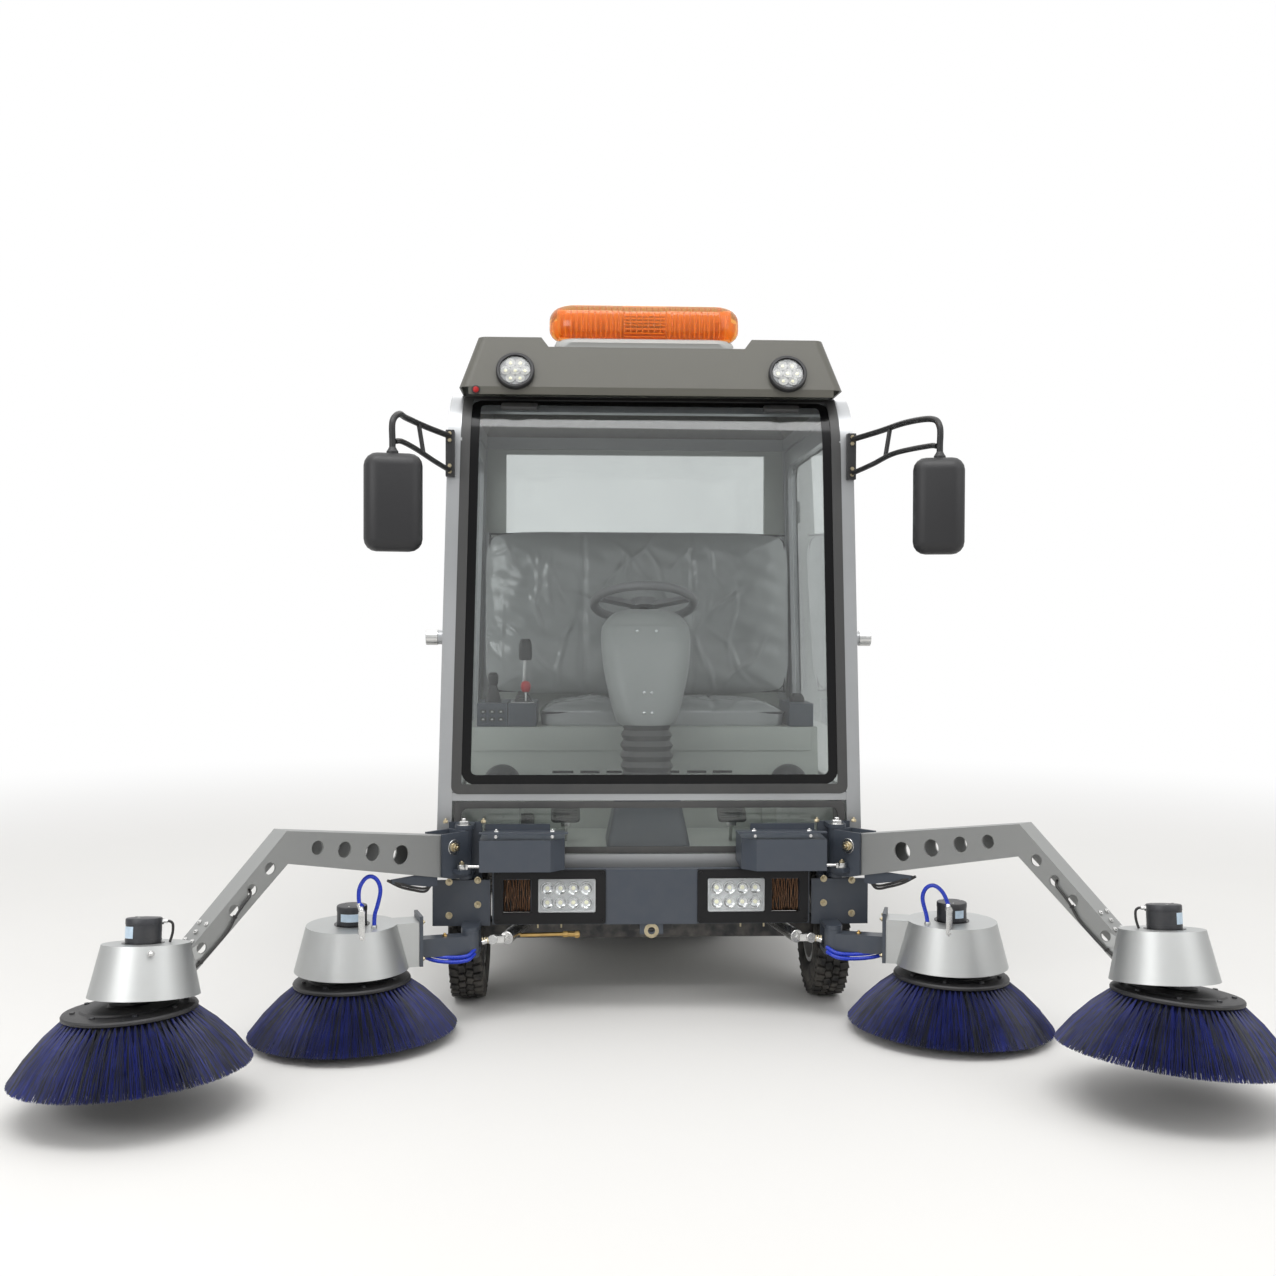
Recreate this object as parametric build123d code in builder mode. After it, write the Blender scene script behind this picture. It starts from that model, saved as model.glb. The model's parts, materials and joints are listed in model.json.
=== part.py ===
"""Compact road sweeper with an enclosed cab, four side brushes and a tipping rear hopper.

Millimetres. The machine faces -Y, +X is its left side and +Z is up. The origin lies on the
ground under the middle of its length, on the centre plane.
"""
import os
from math import cos, radians, sin, tan

from build123d import *

os.makedirs("parts", exist_ok=True)

# Overall sizes and the stations along the machine, measured back from the cab's front face
CAB_WIDTH = 1300
CAB_DEPTH = 1190
CAB_TOP_INSET = 38
CAB_SILL_HEIGHT = 432
CAB_TOP_HEIGHT = 1886
BODY_LENGTH = 2430
FRONT_AXLE_BACK = 170
MAIN_BRUSH_BACK = 950
REAR_AXLE_BACK = 1800

# Side brushes and the arms that carry them
BRUSH_RADIUS = 294
OUTER_SWING_X = 560
OUTER_SWING_AHEAD = 60
OUTER_LIFT_REACH = 75
OUTER_ARM_REACH = 1062
LEFT_ARM_ANGLE = 49.0
RIGHT_ARM_ANGLE = 45.8
INNER_SWING_X = 535
INNER_SWING_AHEAD = 150
INNER_ARM_ANGLE = 16.4
INNER_ARM_REACH = 341

FRONT_OVERHANG = OUTER_SWING_AHEAD + OUTER_ARM_REACH * sin(radians(LEFT_ARM_ANGLE)) + BRUSH_RADIUS
CAB_FRONT = (FRONT_OVERHANG - BODY_LENGTH) / 2
CAB_REAR = CAB_FRONT + CAB_DEPTH
BODY_REAR = CAB_FRONT + BODY_LENGTH

# name, sign of X, forward angle of the outer arm
SIDES = (("left", 1, LEFT_ARM_ANGLE), ("right", -1, RIGHT_ARM_ANGLE))

# Running clearances
SEAT_GAP = 0.3
PIN_CLEARANCE = 0.05
DOOR_GAP = 6

# Wheels
WHEEL_X = 559
TYRE_RADIUS = 210
TYRE_WIDTH = 108
TYRE_SHOULDER = 18
TYRE_BEAD_INSET = 18
RIM_RADIUS = 101
RIM_WALL = 4
RIM_DISC_OFFSET = 16
RIM_DISC_THICKNESS = 8
HUB_RADIUS = 32
HUB_LENGTH = 44
STUB_RADIUS = 15

# Chassis
RAIL_X = 330
RAIL_WIDTH = 50
RAIL_BOTTOM = 350
RAIL_HEIGHT = 98
RAIL_TOP = RAIL_BOTTOM + RAIL_HEIGHT
CROSS_BACK = (80, 620, 1330, 1560, 2300)
CROSS_LENGTH = 50
OUTRIGGER_BACK = 1510
OUTRIGGER_LENGTH = 50
KINGPIN_X = 515
KINGPIN_RADIUS = 12
BEAM_SIZE = 50
SLEEVE_RADIUS = 24
AXLE_FOOT_LENGTH = 80
AXLE_TUBE_RADIUS = 38
DIFFERENTIAL_RADIUS = 92
DIFFERENTIAL_LENGTH = 190
DRIVE_MOTOR_AHEAD = 190
DRIVE_MOTOR_RAISE = 20
DRIVE_MOTOR_RADIUS = 85
DRIVE_MOTOR_LENGTH = 260
EAR_THICKNESS = 10

# Main sweeping roller
ROLLER_RADIUS = 150
ROLLER_CORE_RADIUS = 60
ROLLER_LENGTH = 720
ROLLER_GROUND_GAP = 20
ROLLER_SHAFT_RADIUS = 14
HOOD_GAP = 15
HOOD_WALL = 4

# Cab
FRAME_THICKNESS = 43
FRAME_MEMBER = 48
FRAME_FRONT_RADIUS = 170
FRAME_REAR_RADIUS = 30
SILL_RAIL_HEIGHT = 40
SILL_RAIL_DEPTH = 44
BAR_BOTTOM = 636
BAR_TOP = 660
FLOOR_TOP = 475
FLOOR_THICKNESS = FLOOR_TOP - RAIL_TOP - SEAT_GAP
RISER_BACK = 500
RISER_TOP = 820
RISER_INNER_X = 520
SHEET = 5
SCREEN_SETBACK = 4
SCREEN_THICKNESS = 6
SCREEN_CURL = 70
GLASS_THICKNESS = 5
REAR_WALL_THICKNESS = 30
REAR_WINDOW_WIDTH = 1000
REAR_WINDOW_TALL = 480
REAR_WINDOW_HEIGHT = 1580

# Cross bars of the cab: back, depth, low, high
BAR_TABLE = (
    (0, SILL_RAIL_DEPTH, CAB_SILL_HEIGHT, CAB_SILL_HEIGHT + SILL_RAIL_HEIGHT),
    (2, 40, BAR_BOTTOM, BAR_TOP),
    (FRAME_FRONT_RADIUS, FRAME_MEMBER, CAB_TOP_HEIGHT - FRAME_MEMBER, CAB_TOP_HEIGHT),
    (CAB_DEPTH - FRAME_MEMBER, FRAME_MEMBER, CAB_TOP_HEIGHT - FRAME_MEMBER, CAB_TOP_HEIGHT),
    (CAB_DEPTH - FRAME_MEMBER, FRAME_MEMBER, RAIL_TOP + SEAT_GAP, CAB_SILL_HEIGHT + FRAME_MEMBER),
)

# Roof cap, its round lamps and the beacon bar
ROOF_TOP = 2046
ROOF_TOP_WIDTH = 1058
ROOF_BOTTOM_WIDTH = 1166
ROOF_WALL = 6
ROOF_CORNER = 30
ROOF_REAR_RAKE = 60
VISOR_AHEAD = 10
VISOR_RAKE = 50
VISOR_LIP = 21
ROOF_LAMP_X = 413
ROOF_LAMP_HEIGHT = 1933
ROOF_LAMP_RADIUS = 57
ROOF_LAMP_DEPTH = 16
BEACON_LENGTH = 603
BEACON_DEPTH = 170
BEACON_BACK = 225
BEACON_OFFSET = -14
BEACON_BASE = 16
RECESS_DEPTH = 30
RECESS_HALF = 300
RECESS_SHOULDER = 22
RECESS_MARGIN = 15
BEACON_TALL = 118

# Doors and their hinges
DOOR_INSET = 3
DOOR_THICKNESS = 34
DOOR_STILE = 60
WINDOW_SILL = 640
WINDOW_RADIUS = 60
HANDLE_BACK = 85
HANDLE_HEIGHT = 1130
HANDLE_RADIUS = 22
HANDLE_OUT = 58
HINGE_HEIGHTS = (660, 1600)
HINGE_INSET = 12
HINGE_OUT = 12
HINGE_BARREL_RADIUS = 9
HINGE_PIN_RADIUS = 5
HINGE_BARREL_LENGTH = 40
HINGE_LEAF = 36

# Cab inside: column sections are height, width, depth, back
COLUMN_TABLE = (
    (FLOOR_TOP + SEAT_GAP, 245, 200, 240),
    (640, 194, 160, 240),
    (639, 150, 130, 240),
    (830, 150, 130, 260),
    (829, 330, 150, 290),
    (1180, 330, 100, 370),
)
COLUMN_CORNER = 40
COLUMN_SHAFT = 20
PEDAL_X = (-260, 270)
PEDAL_BACK = 200
PEDAL_HEIGHT = 569
STEERING_BACK = 470
STEERING_HEIGHT = 1240
STEERING_TILT = 20
STEERING_RADIUS = 168
STEERING_GRIP = 15
SEAT_BACK = 530
SEAT_DEPTH = 400
SEAT_WIDTH = 480
SEAT_TALL = 95
BACKREST_TALL = 530
BACKREST_DEPTH = 90
CONSOLE_DEPTH = 240
LEVER_RADIUS = 9
LEVER_TALL = 90
LEVER_SPREAD = 22
CONSOLE_TABLE = ((-405, 230), (542, 84))
CONSOLE_TALL = 85

# Mirrors
MIRROR_X = 735
MIRROR_AHEAD = 475
MIRROR_UPPER = 1737
MIRROR_LOWER = 1600
MIRROR_TUBE = 9
MIRROR_TOP = 1630
MIRROR_BOTTOM = 1365
MIRROR_WIDTH = 155
MIRROR_DEPTH = 90
MIRROR_BRACKET = 30

# Front bumper, lamps and arm mounts: lamp rows are centre, width, height, depth
BUMPER_AHEAD = 80
BUMPER_DEPTH = 28
BUMPER_HALF = 475
BUMPER_BOTTOM = 277
BUMPER_TOP = 441
BUMPER_WALL = 4
CENTRE_HALF = 137
CENTRE_PROUD = 6
LAMP_HEIGHT = 359
LAMP_PROUD = 3
LAMP_TABLE = ((250.5, 167, 104, 24), (402, 82, 104, 24))
TOW_EYE_HEIGHT = 262
TOW_EYE_RADIUS = 11
TOW_LUG = 16
MOUNT_AHEAD = 80
MOUNT_PLATE = 10
MOUNT_INNER = 481
MOUNT_OUTER = 652
MOUNT_BOTTOM = 274
MOUNT_TOP = 410
SWING_BOTTOM = 425
SWING_TOP = 561
SWING_PLATE = 12
SWING_TONGUE = 28
SWING_PIN = 12
SWING_BOSS = 24
SWING_BACK_WIDTH = 100
INNER_EAR = 26
INNER_EAR_BOTTOM = 200
INNER_EAR_TOP = 275
INNER_EAR_PLATE = 12
INNER_PIN = 12
ACTUATOR_AHEAD = 200
ACTUATOR_INNER = 300
ACTUATOR_OUTER = 506
ACTUATOR_BOTTOM = 455
ACTUATOR_TOP = 547
ACTUATOR_CHAMFER = 40
FLANGE = 10
FLANGE_BOTTOM = 475
FLANGE_TOP = 566
ROD_AHEAD = 145
ROD_HEIGHT = 462
ROD_RADIUS = 5
ROD_BORE_DEPTH = 110
ROD_LENGTH = 95
ROD_EYE = 12
ROD_EYE_TALL = 14
ROD_PIN = 6
ROD_LUG_HALF = 18
ROD_LUG_THICKNESS = 12
ROD_SLOT_HALF = 7.6
ROD_SLOT_LENGTH = 21.5

# Rear bodies
MID_LENGTH = 265
MID_WIDTH = 1220
MID_TOP = 1500
MID_WALL = 14
MID_CEILING = 30
MID_RADIUS = 60
BODY_GAP = 20
BATTERY_WIDTH = 900
BATTERY_TALL = 450
HOPPER_BACK = 1500
HOPPER_WIDTH = 1100
HOPPER_BOTTOM = 468
HOPPER_TOP = 1400
HOPPER_WALL = 6
HOPPER_RADIUS = 60
HOPPER_INLET_TALL = 240
HOPPER_REAR_GAP = 38
HOPPER_DOOR_THICKNESS = 30
HOPPER_DOOR_GAP = 6
LID_HINGE_X = 350
LID_HINGE_RAISE = 16
LID_HINGE_RADIUS = 14
LID_PIN_RADIUS = 7
LID_LUG_WIDTH = 18
TIP_AXIS_HEIGHT = 430
TIP_AXIS_BACK = 2368
TIP_PIN_RADIUS = 12
TIP_EAR_WIDTH = 24
TIP_EAR_RADIUS = 21
TIP_LUG_THICKNESS = 10
TIP_LUG_RADIUS = 24
TIP_LUG_REACH = 40
TIP_LUG_OVERLAP = 60
PIN_FACE_GAP = 0.5

# Tipping cylinders
CYLINDER_STAND = 38
CYLINDER_X = HOPPER_WIDTH / 2 + CYLINDER_STAND
CYLINDER_BARREL = 22
CYLINDER_BARREL_LENGTH = 735
BARREL_START = 38
CYLINDER_ROD = 12
CYLINDER_PIN = 10
CYLINDER_EYE = 22
CYLINDER_EYE_WIDTH = 30
EYE_SIDE_GAP = 1
ROD_ENGAGED = 735
CYLINDER_EAR = 8
CYLINDER_EAR_GAP = 32
CYLINDER_BASE_HEIGHT = 450
EAR_DROP = 60
CYLINDER_EYE_BACK = 2310
CYLINDER_EYE_HEIGHT = 620
ROD_HEAD_STAND = 5
EYE_BOSS_RADIUS = 36

# Outer brush arms: outlines are distance along the arm and height, holes add a diameter
ARM_DEPTH = 60
ARM_WALL = 5
LIFT_AXIS_HEIGHT = 519
LIFT_PIN = 9
ARM_DRAWN_REACH = 1062
ARM_OUTLINE = ((45, 419), (636, 543), (935, 283), (960, 332), (639, 630), (45, 546))
ARM_CAVITY = ((40, 398), (640, 513), (884, 300), (890, 387), (636, 624), (40, 540))
ARM_HOLES = (
    (261, 519, 55),
    (360, 539, 49),
    (455, 558, 44),
    (543, 574, 38),
    (690, 538, 32),
    (744, 490, 30),
    (796, 445, 30),
    (888, 366, 28),
)
CHEEK_OUTLINE = ((20, 425.5), (70, 425.5), (117, 437), (117, 560.5), (20, 560.5))
CHEEK_INNER = 32
CHEEK_THICKNESS = 8
CHEEK_WEB = 12

# Outer brush heads
COVER_WALL = 3
COVER_INWARD = 36
MOTOR_OUTWARD = 7
COVER_LEAN = 8
OUTER_COVER_TOP = 403
OUTER_COVER_BOTTOM = 280
OUTER_COVER_TOP_RADIUS = 103
OUTER_COVER_BOTTOM_RADIUS = 131
OUTER_COVER_MIDDLE = 341
OUTER_MOTOR_TALL = 58
MOTOR_RADIUS = 42
OUTER_DISC_TOP = 256
OUTER_TILT = {"left": 6.4, "right": 4.2}
OUTER_RISE = {"left": 27, "right": 0}
OUTER_BRISTLE_DROP = 137

# Inner brush arms and heads
INNER_BEAM_WIDTH = 50
INNER_BEAM_BOTTOM = 212.5
INNER_BEAM_TOP = 265
INNER_PLATE_REACH = 151
INNER_PLATE_WIDTH = 96
INNER_PLATE_THICKNESS = 10
INNER_PLATE_BOTTOM = 193
INNER_PLATE_TOP = 337
INNER_BOX_WIDTH = 88
INNER_COVER_TOP = 319
INNER_COVER_BOTTOM = 193
INNER_COVER_TOP_RADIUS = 128
INNER_COVER_BOTTOM_RADIUS = 161
INNER_MOTOR_TALL = 52
INNER_DISC_TOP = 172
INNER_TILT = 1.8
INNER_TILT_DIRECTION = 55
INNER_BRISTLE_DROP = 131

# Brush shape, shared by the four side brushes
DISC_RADIUS = 165
DISC_THICKNESS = 20
BRISTLE_INNER_RADIUS = 205
BRISTLE_ROOT_RADIUS = 90
SHAFT_RADIUS = 15
SHAFT_LENGTH = 80
SHAFT_HUB = 28


def finish(part, name):
    """Label one finished piece and write it to its own file."""
    part.label = name
    export_step(part, f"parts/{name}.step")


def arm_direction(side, angle):
    """Unit vector in plan of an arm that leans forward of the lateral by the angle."""
    return Vector(side * cos(radians(angle)), -sin(radians(angle)), 0)


def arm_plane(origin_x, origin_ahead, side, angle, offset=0):
    """Upright plane along an arm: x runs out along it and y runs up."""
    along = arm_direction(side, angle)
    normal = along.cross(Vector(0, 0, 1))
    origin = Vector(side * origin_x, CAB_FRONT - origin_ahead, 0) + normal * offset
    return Plane(origin=origin, x_dir=along, z_dir=normal)


def tilted_plane(centre, pivot_height, height, side, direction, tilt):
    """Plane square to a brush's leaning shaft, at a height measured down its shaft."""
    lean_axis = Axis((centre.X, centre.Y, pivot_height), arm_direction(side, direction))
    upright = Vector(0, 0, 1).rotate(lean_axis, side * -tilt)
    origin = Vector(centre.X, centre.Y, pivot_height) - upright * (pivot_height - height)
    return Plane(origin=origin, x_dir=upright.cross(Vector(0, 1, 0)), z_dir=upright)


def side_plane(side, inset=0):
    """Leaning side plane of the cab: x runs back, y runs up and z points out."""
    lean = CAB_TOP_INSET / (CAB_TOP_HEIGHT - CAB_SILL_HEIGHT)
    up = Vector(-side * lean, 0, 1).normalized()
    back = Vector(0, side, 0)
    base = Vector(side * CAB_WIDTH / 2, CAB_FRONT, CAB_SILL_HEIGHT)
    return Plane(origin=base, x_dir=back, z_dir=back.cross(up)).offset(-inset)


def build_chassis():
    """Ladder frame: two rails, their cross members and the cylinders' outriggers."""
    rail_end = CAB_FRONT + TIP_AXIS_BACK - TIP_LUG_REACH
    rail_length = rail_end - CAB_FRONT
    lug_plane = Plane.YZ
    with BuildPart() as frame_rails:
        with Locations((0, CAB_FRONT + rail_length / 2, RAIL_BOTTOM + RAIL_HEIGHT / 2)):
            with Locations((RAIL_X, 0, 0), (-RAIL_X, 0, 0)):
                Box(RAIL_WIDTH, rail_length, RAIL_HEIGHT)
        for side in (1, -1):
            for place in (-1, 1):
                lug_x = side * RAIL_X + place * (TIP_EAR_WIDTH / 2 + PIN_FACE_GAP + TIP_LUG_THICKNESS / 2)
                with BuildSketch(lug_plane.offset(lug_x - TIP_LUG_THICKNESS / 2)):
                    with Locations((CAB_FRONT + TIP_AXIS_BACK, TIP_AXIS_HEIGHT)):
                        Circle(TIP_LUG_RADIUS)
                    lug_length = TIP_LUG_REACH + TIP_LUG_OVERLAP
                    with Locations((CAB_FRONT + TIP_AXIS_BACK - lug_length / 2, TIP_AXIS_HEIGHT - 8)):
                        Rectangle(lug_length, 2 * TIP_LUG_RADIUS - 16)
                extrude(amount=TIP_LUG_THICKNESS)
            with Locations(Location((side * RAIL_X, CAB_FRONT + TIP_AXIS_BACK, TIP_AXIS_HEIGHT), (0, 90, 0))):
                Cylinder(TIP_PIN_RADIUS, TIP_EAR_WIDTH + 2 * TIP_LUG_THICKNESS)
        notch = SILL_RAIL_DEPTH + SEAT_GAP
        with Locations((0, CAB_FRONT + notch / 2, CAB_SILL_HEIGHT - SEAT_GAP + RAIL_HEIGHT / 2)):
            Box(3 * RAIL_X, notch, RAIL_HEIGHT, mode=Mode.SUBTRACT)
    finish(frame_rails.part, "frame_rails")

    inner_span = 2 * RAIL_X - RAIL_WIDTH
    outer_edge = RAIL_X + RAIL_WIDTH / 2
    with BuildPart() as frame_cross_members:
        for back in CROSS_BACK:
            with Locations((0, CAB_FRONT + back, RAIL_BOTTOM + RAIL_HEIGHT / 2)):
                Box(inner_span, CROSS_LENGTH, RAIL_HEIGHT - 20)
        for side in (1, -1):
            reach = CYLINDER_X + CYLINDER_EAR_GAP / 2 + CYLINDER_EAR - outer_edge
            with Locations((side * (outer_edge + reach / 2), CAB_FRONT + OUTRIGGER_BACK, CYLINDER_BASE_HEIGHT - EAR_DROP)):
                Box(reach, OUTRIGGER_LENGTH, 40)
            for place in (-1, 1):
                ear_x = side * (CYLINDER_X + place * (CYLINDER_EAR_GAP + CYLINDER_EAR) / 2)
                with Locations((ear_x, CAB_FRONT + OUTRIGGER_BACK, CYLINDER_BASE_HEIGHT - EAR_DROP / 6)):
                    Box(CYLINDER_EAR, OUTRIGGER_LENGTH, EAR_DROP)
            pin_place = (side * CYLINDER_X, CAB_FRONT + OUTRIGGER_BACK, CYLINDER_BASE_HEIGHT)
            with Locations(Location(pin_place, (0, 90, 0))):
                Cylinder(CYLINDER_PIN, CYLINDER_EAR_GAP + 2 * CYLINDER_EAR)
    finish(frame_cross_members.part, "frame_cross_members")


def build_axles():
    """Front beam with kingpin sleeves, and the driven rear axle."""
    front_y = CAB_FRONT + FRONT_AXLE_BACK
    with BuildPart() as front_axle:
        with Locations((0, front_y, TYRE_RADIUS)):
            Box(2 * KINGPIN_X, BEAM_SIZE, BEAM_SIZE)
        for side in (1, -1):
            with Locations((side * RAIL_X, front_y, (TYRE_RADIUS + RAIL_BOTTOM) / 2)):
                Box(RAIL_WIDTH, BEAM_SIZE, RAIL_BOTTOM - TYRE_RADIUS)
            with Locations((side * KINGPIN_X, front_y, TYRE_RADIUS)):
                Cylinder(SLEEVE_RADIUS, BEAM_SIZE + 6)
                Cylinder(KINGPIN_RADIUS + PIN_CLEARANCE, BEAM_SIZE + 8, mode=Mode.SUBTRACT)
    finish(front_axle.part, "front_axle")

    rear_y = CAB_FRONT + REAR_AXLE_BACK
    tube_length = 2 * (WHEEL_X - HUB_LENGTH / 2 + RIM_DISC_OFFSET - 4)
    with BuildPart() as rear_axle:
        with Locations(Location((0, rear_y, TYRE_RADIUS), (0, 90, 0))):
            Cylinder(AXLE_TUBE_RADIUS, tube_length)
            Cylinder(STUB_RADIUS, 2 * (WHEEL_X + RIM_DISC_OFFSET + HUB_LENGTH / 2))
            Cylinder(DIFFERENTIAL_RADIUS, DIFFERENTIAL_LENGTH)
        motor_place = (0, rear_y - DRIVE_MOTOR_AHEAD, TYRE_RADIUS + DRIVE_MOTOR_RAISE)
        with Locations(Location(motor_place, (90, 0, 0))):
            Cylinder(DRIVE_MOTOR_RADIUS, DRIVE_MOTOR_LENGTH)
        for side in (1, -1):
            with Locations((side * RAIL_X, rear_y, (TYRE_RADIUS + RAIL_BOTTOM) / 2)):
                Box(RAIL_WIDTH, AXLE_FOOT_LENGTH, RAIL_BOTTOM - TYRE_RADIUS)
    finish(rear_axle.part, "rear_axle")


def build_knuckles():
    """Steering knuckles: two ears on a kingpin, an outer web and the stub axle."""
    axle_y = CAB_FRONT + FRONT_AXLE_BACK
    ear_offset = (BEAM_SIZE + 6) / 2 + SEAT_GAP + EAR_THICKNESS / 2
    web_inner = SLEEVE_RADIUS + 2
    web_thickness = 11
    for name, side, _ in SIDES:
        with BuildPart() as knuckle:
            with Locations((side * KINGPIN_X, axle_y, TYRE_RADIUS)):
                Cylinder(KINGPIN_RADIUS, 2 * ear_offset + EAR_THICKNESS)
                with Locations((0, 0, ear_offset), (0, 0, -ear_offset)):
                    Cylinder(SLEEVE_RADIUS, EAR_THICKNESS)
                with Locations((side * (web_inner / 2 + 4), 0, ear_offset),
                               (side * (web_inner / 2 + 4), 0, -ear_offset)):
                    Box(web_inner - 8 + web_thickness, 36, EAR_THICKNESS)
                with Locations((side * (web_inner + web_thickness / 2), 0, 0)):
                    Box(web_thickness, 40, 2 * ear_offset + EAR_THICKNESS)
            stub_end = WHEEL_X + RIM_DISC_OFFSET + HUB_LENGTH / 2
            stub_start = KINGPIN_X + web_inner + 2
            with Locations(Location((side * (stub_start + stub_end) / 2, axle_y, TYRE_RADIUS), (0, 90, 0))):
                Cylinder(STUB_RADIUS, stub_end - stub_start)
        finish(knuckle.part, f"knuckle_{name}")


def build_wheels():
    """Four wheels: a rounded tyre on a dished steel rim with its hub."""
    half = TYRE_WIDTH / 2
    stations = (("front", FRONT_AXLE_BACK), ("rear", REAR_AXLE_BACK))
    for end, back in stations:
        for name, side, _ in SIDES:
            hub_plane = Plane(
                origin=(side * WHEEL_X, CAB_FRONT + back, TYRE_RADIUS),
                x_dir=(side, 0, 0),
                z_dir=(0, -side, 0),
            )
            with BuildPart() as tyre:
                with BuildSketch(hub_plane):
                    with BuildLine():
                        Polyline(
                            (-half + TYRE_BEAD_INSET, RIM_RADIUS + SEAT_GAP),
                            (half - TYRE_BEAD_INSET, RIM_RADIUS + SEAT_GAP),
                            (half, RIM_RADIUS + 45),
                            (half - 4, TYRE_RADIUS - TYRE_SHOULDER),
                            (half - TYRE_SHOULDER, TYRE_RADIUS),
                            (-half + TYRE_SHOULDER, TYRE_RADIUS),
                            (-half + 4, TYRE_RADIUS - TYRE_SHOULDER),
                            (-half, RIM_RADIUS + 45),
                            close=True,
                        )
                    make_face()
                revolve(axis=Axis(hub_plane.origin, (1, 0, 0)))
            finish(tyre.part, f"tyre_{end}_{name}")

            with BuildPart() as rim:
                with BuildSketch(hub_plane):
                    with Locations((0, RIM_RADIUS - RIM_WALL / 2)):
                        Rectangle(TYRE_WIDTH - 16, RIM_WALL)
                    for edge in (-1, 1):
                        with Locations((edge * (half - 8 - RIM_WALL / 2), RIM_RADIUS + 2)):
                            Rectangle(RIM_WALL, 12)
                    with Locations((RIM_DISC_OFFSET, (RIM_RADIUS + STUB_RADIUS) / 2)):
                        Rectangle(RIM_DISC_THICKNESS, RIM_RADIUS - RIM_WALL - STUB_RADIUS)
                    bore = STUB_RADIUS + PIN_CLEARANCE
                    with Locations((RIM_DISC_OFFSET, (bore + HUB_RADIUS) / 2)):
                        Rectangle(HUB_LENGTH, HUB_RADIUS - bore)
                    with Locations((RIM_DISC_OFFSET, bore / 2)):
                        Rectangle(TYRE_WIDTH, bore, mode=Mode.SUBTRACT)
                revolve(axis=Axis(hub_plane.origin, (1, 0, 0)))
            finish(rim.part, f"rim_{end}_{name}")


def build_roller():
    """Main sweeping roller under the floor and the hood that covers it."""
    roller_y = CAB_FRONT + MAIN_BRUSH_BACK
    roller_z = ROLLER_GROUND_GAP + ROLLER_RADIUS
    across = Location((0, roller_y, roller_z), (0, 90, 0))
    cheek_x = ROLLER_LENGTH / 2 + 12
    with BuildPart() as main_roller:
        with Locations(across):
            Cylinder(ROLLER_RADIUS, ROLLER_LENGTH)
            Cylinder(ROLLER_SHAFT_RADIUS, 2 * (cheek_x + HOOD_WALL + 6))
    finish(main_roller.part, "main_roller")

    inner = ROLLER_RADIUS + HOOD_GAP
    outer = inner + HOOD_WALL
    with BuildPart() as roller_hood:
        with BuildSketch(Plane.YZ):
            with Locations((roller_y, roller_z)):
                Circle(outer)
                Circle(inner, mode=Mode.SUBTRACT)
                with Locations((0, -outer / 2 - 5)):
                    Rectangle(2 * outer, outer + 10, mode=Mode.SUBTRACT)
        extrude(amount=cheek_x + HOOD_WALL, both=True)
        for side in (1, -1):
            with BuildSketch(Plane.YZ.offset(side * cheek_x if side > 0 else -cheek_x - HOOD_WALL)):
                with Locations((roller_y, roller_z)):
                    Circle(outer)
                    with Locations((0, -outer / 2 - 45)):
                        Rectangle(2 * outer, outer - 10, mode=Mode.SUBTRACT)
                    Circle(ROLLER_SHAFT_RADIUS + PIN_CLEARANCE, mode=Mode.SUBTRACT)
            extrude(amount=HOOD_WALL)
            with Locations((side * RAIL_X, roller_y, RAIL_BOTTOM - 12)):
                Box(RAIL_WIDTH, 60, 24)
        with Locations(across):
            Cylinder(inner, 2 * cheek_x, mode=Mode.SUBTRACT)
    finish(roller_hood.part, "roller_hood")


def trim_to_cab(inset):
    """Cut the piece in hand to the leaning inner faces of the cab."""
    for side in (1, -1):
        split(bisect_by=side_plane(side, inset), keep=Keep.BOTTOM)


def hinge_plane(side, height):
    """Plane square to the cab's leaning side at a height above ground; x runs back."""
    base = side_plane(side)
    rise = (height - CAB_SILL_HEIGHT) / base.y_dir.Z
    return Plane(origin=base.origin + base.y_dir * rise, x_dir=(0, 1, 0), z_dir=base.y_dir)


def round_top_corners(sketch, front_radius, rear_radius):
    """Round the upper front and upper rear corners of a side outline in hand."""
    top = sorted(sketch.vertices().group_by(Axis.Y)[-1], key=lambda v: abs(v.X))
    fillet(top[0], radius=front_radius)
    top = sorted(sketch.vertices().group_by(Axis.Y)[-1], key=lambda v: abs(v.X))
    fillet(top[-1], radius=rear_radius)


def side_outline(side, edge):
    """Rectangle of the cab's side drawn an edge width inside its outline."""
    height = CAB_TOP_HEIGHT - CAB_SILL_HEIGHT
    with Locations((side * CAB_DEPTH / 2, height / 2)):
        Rectangle(CAB_DEPTH - 2 * edge, height - 2 * edge)


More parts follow.
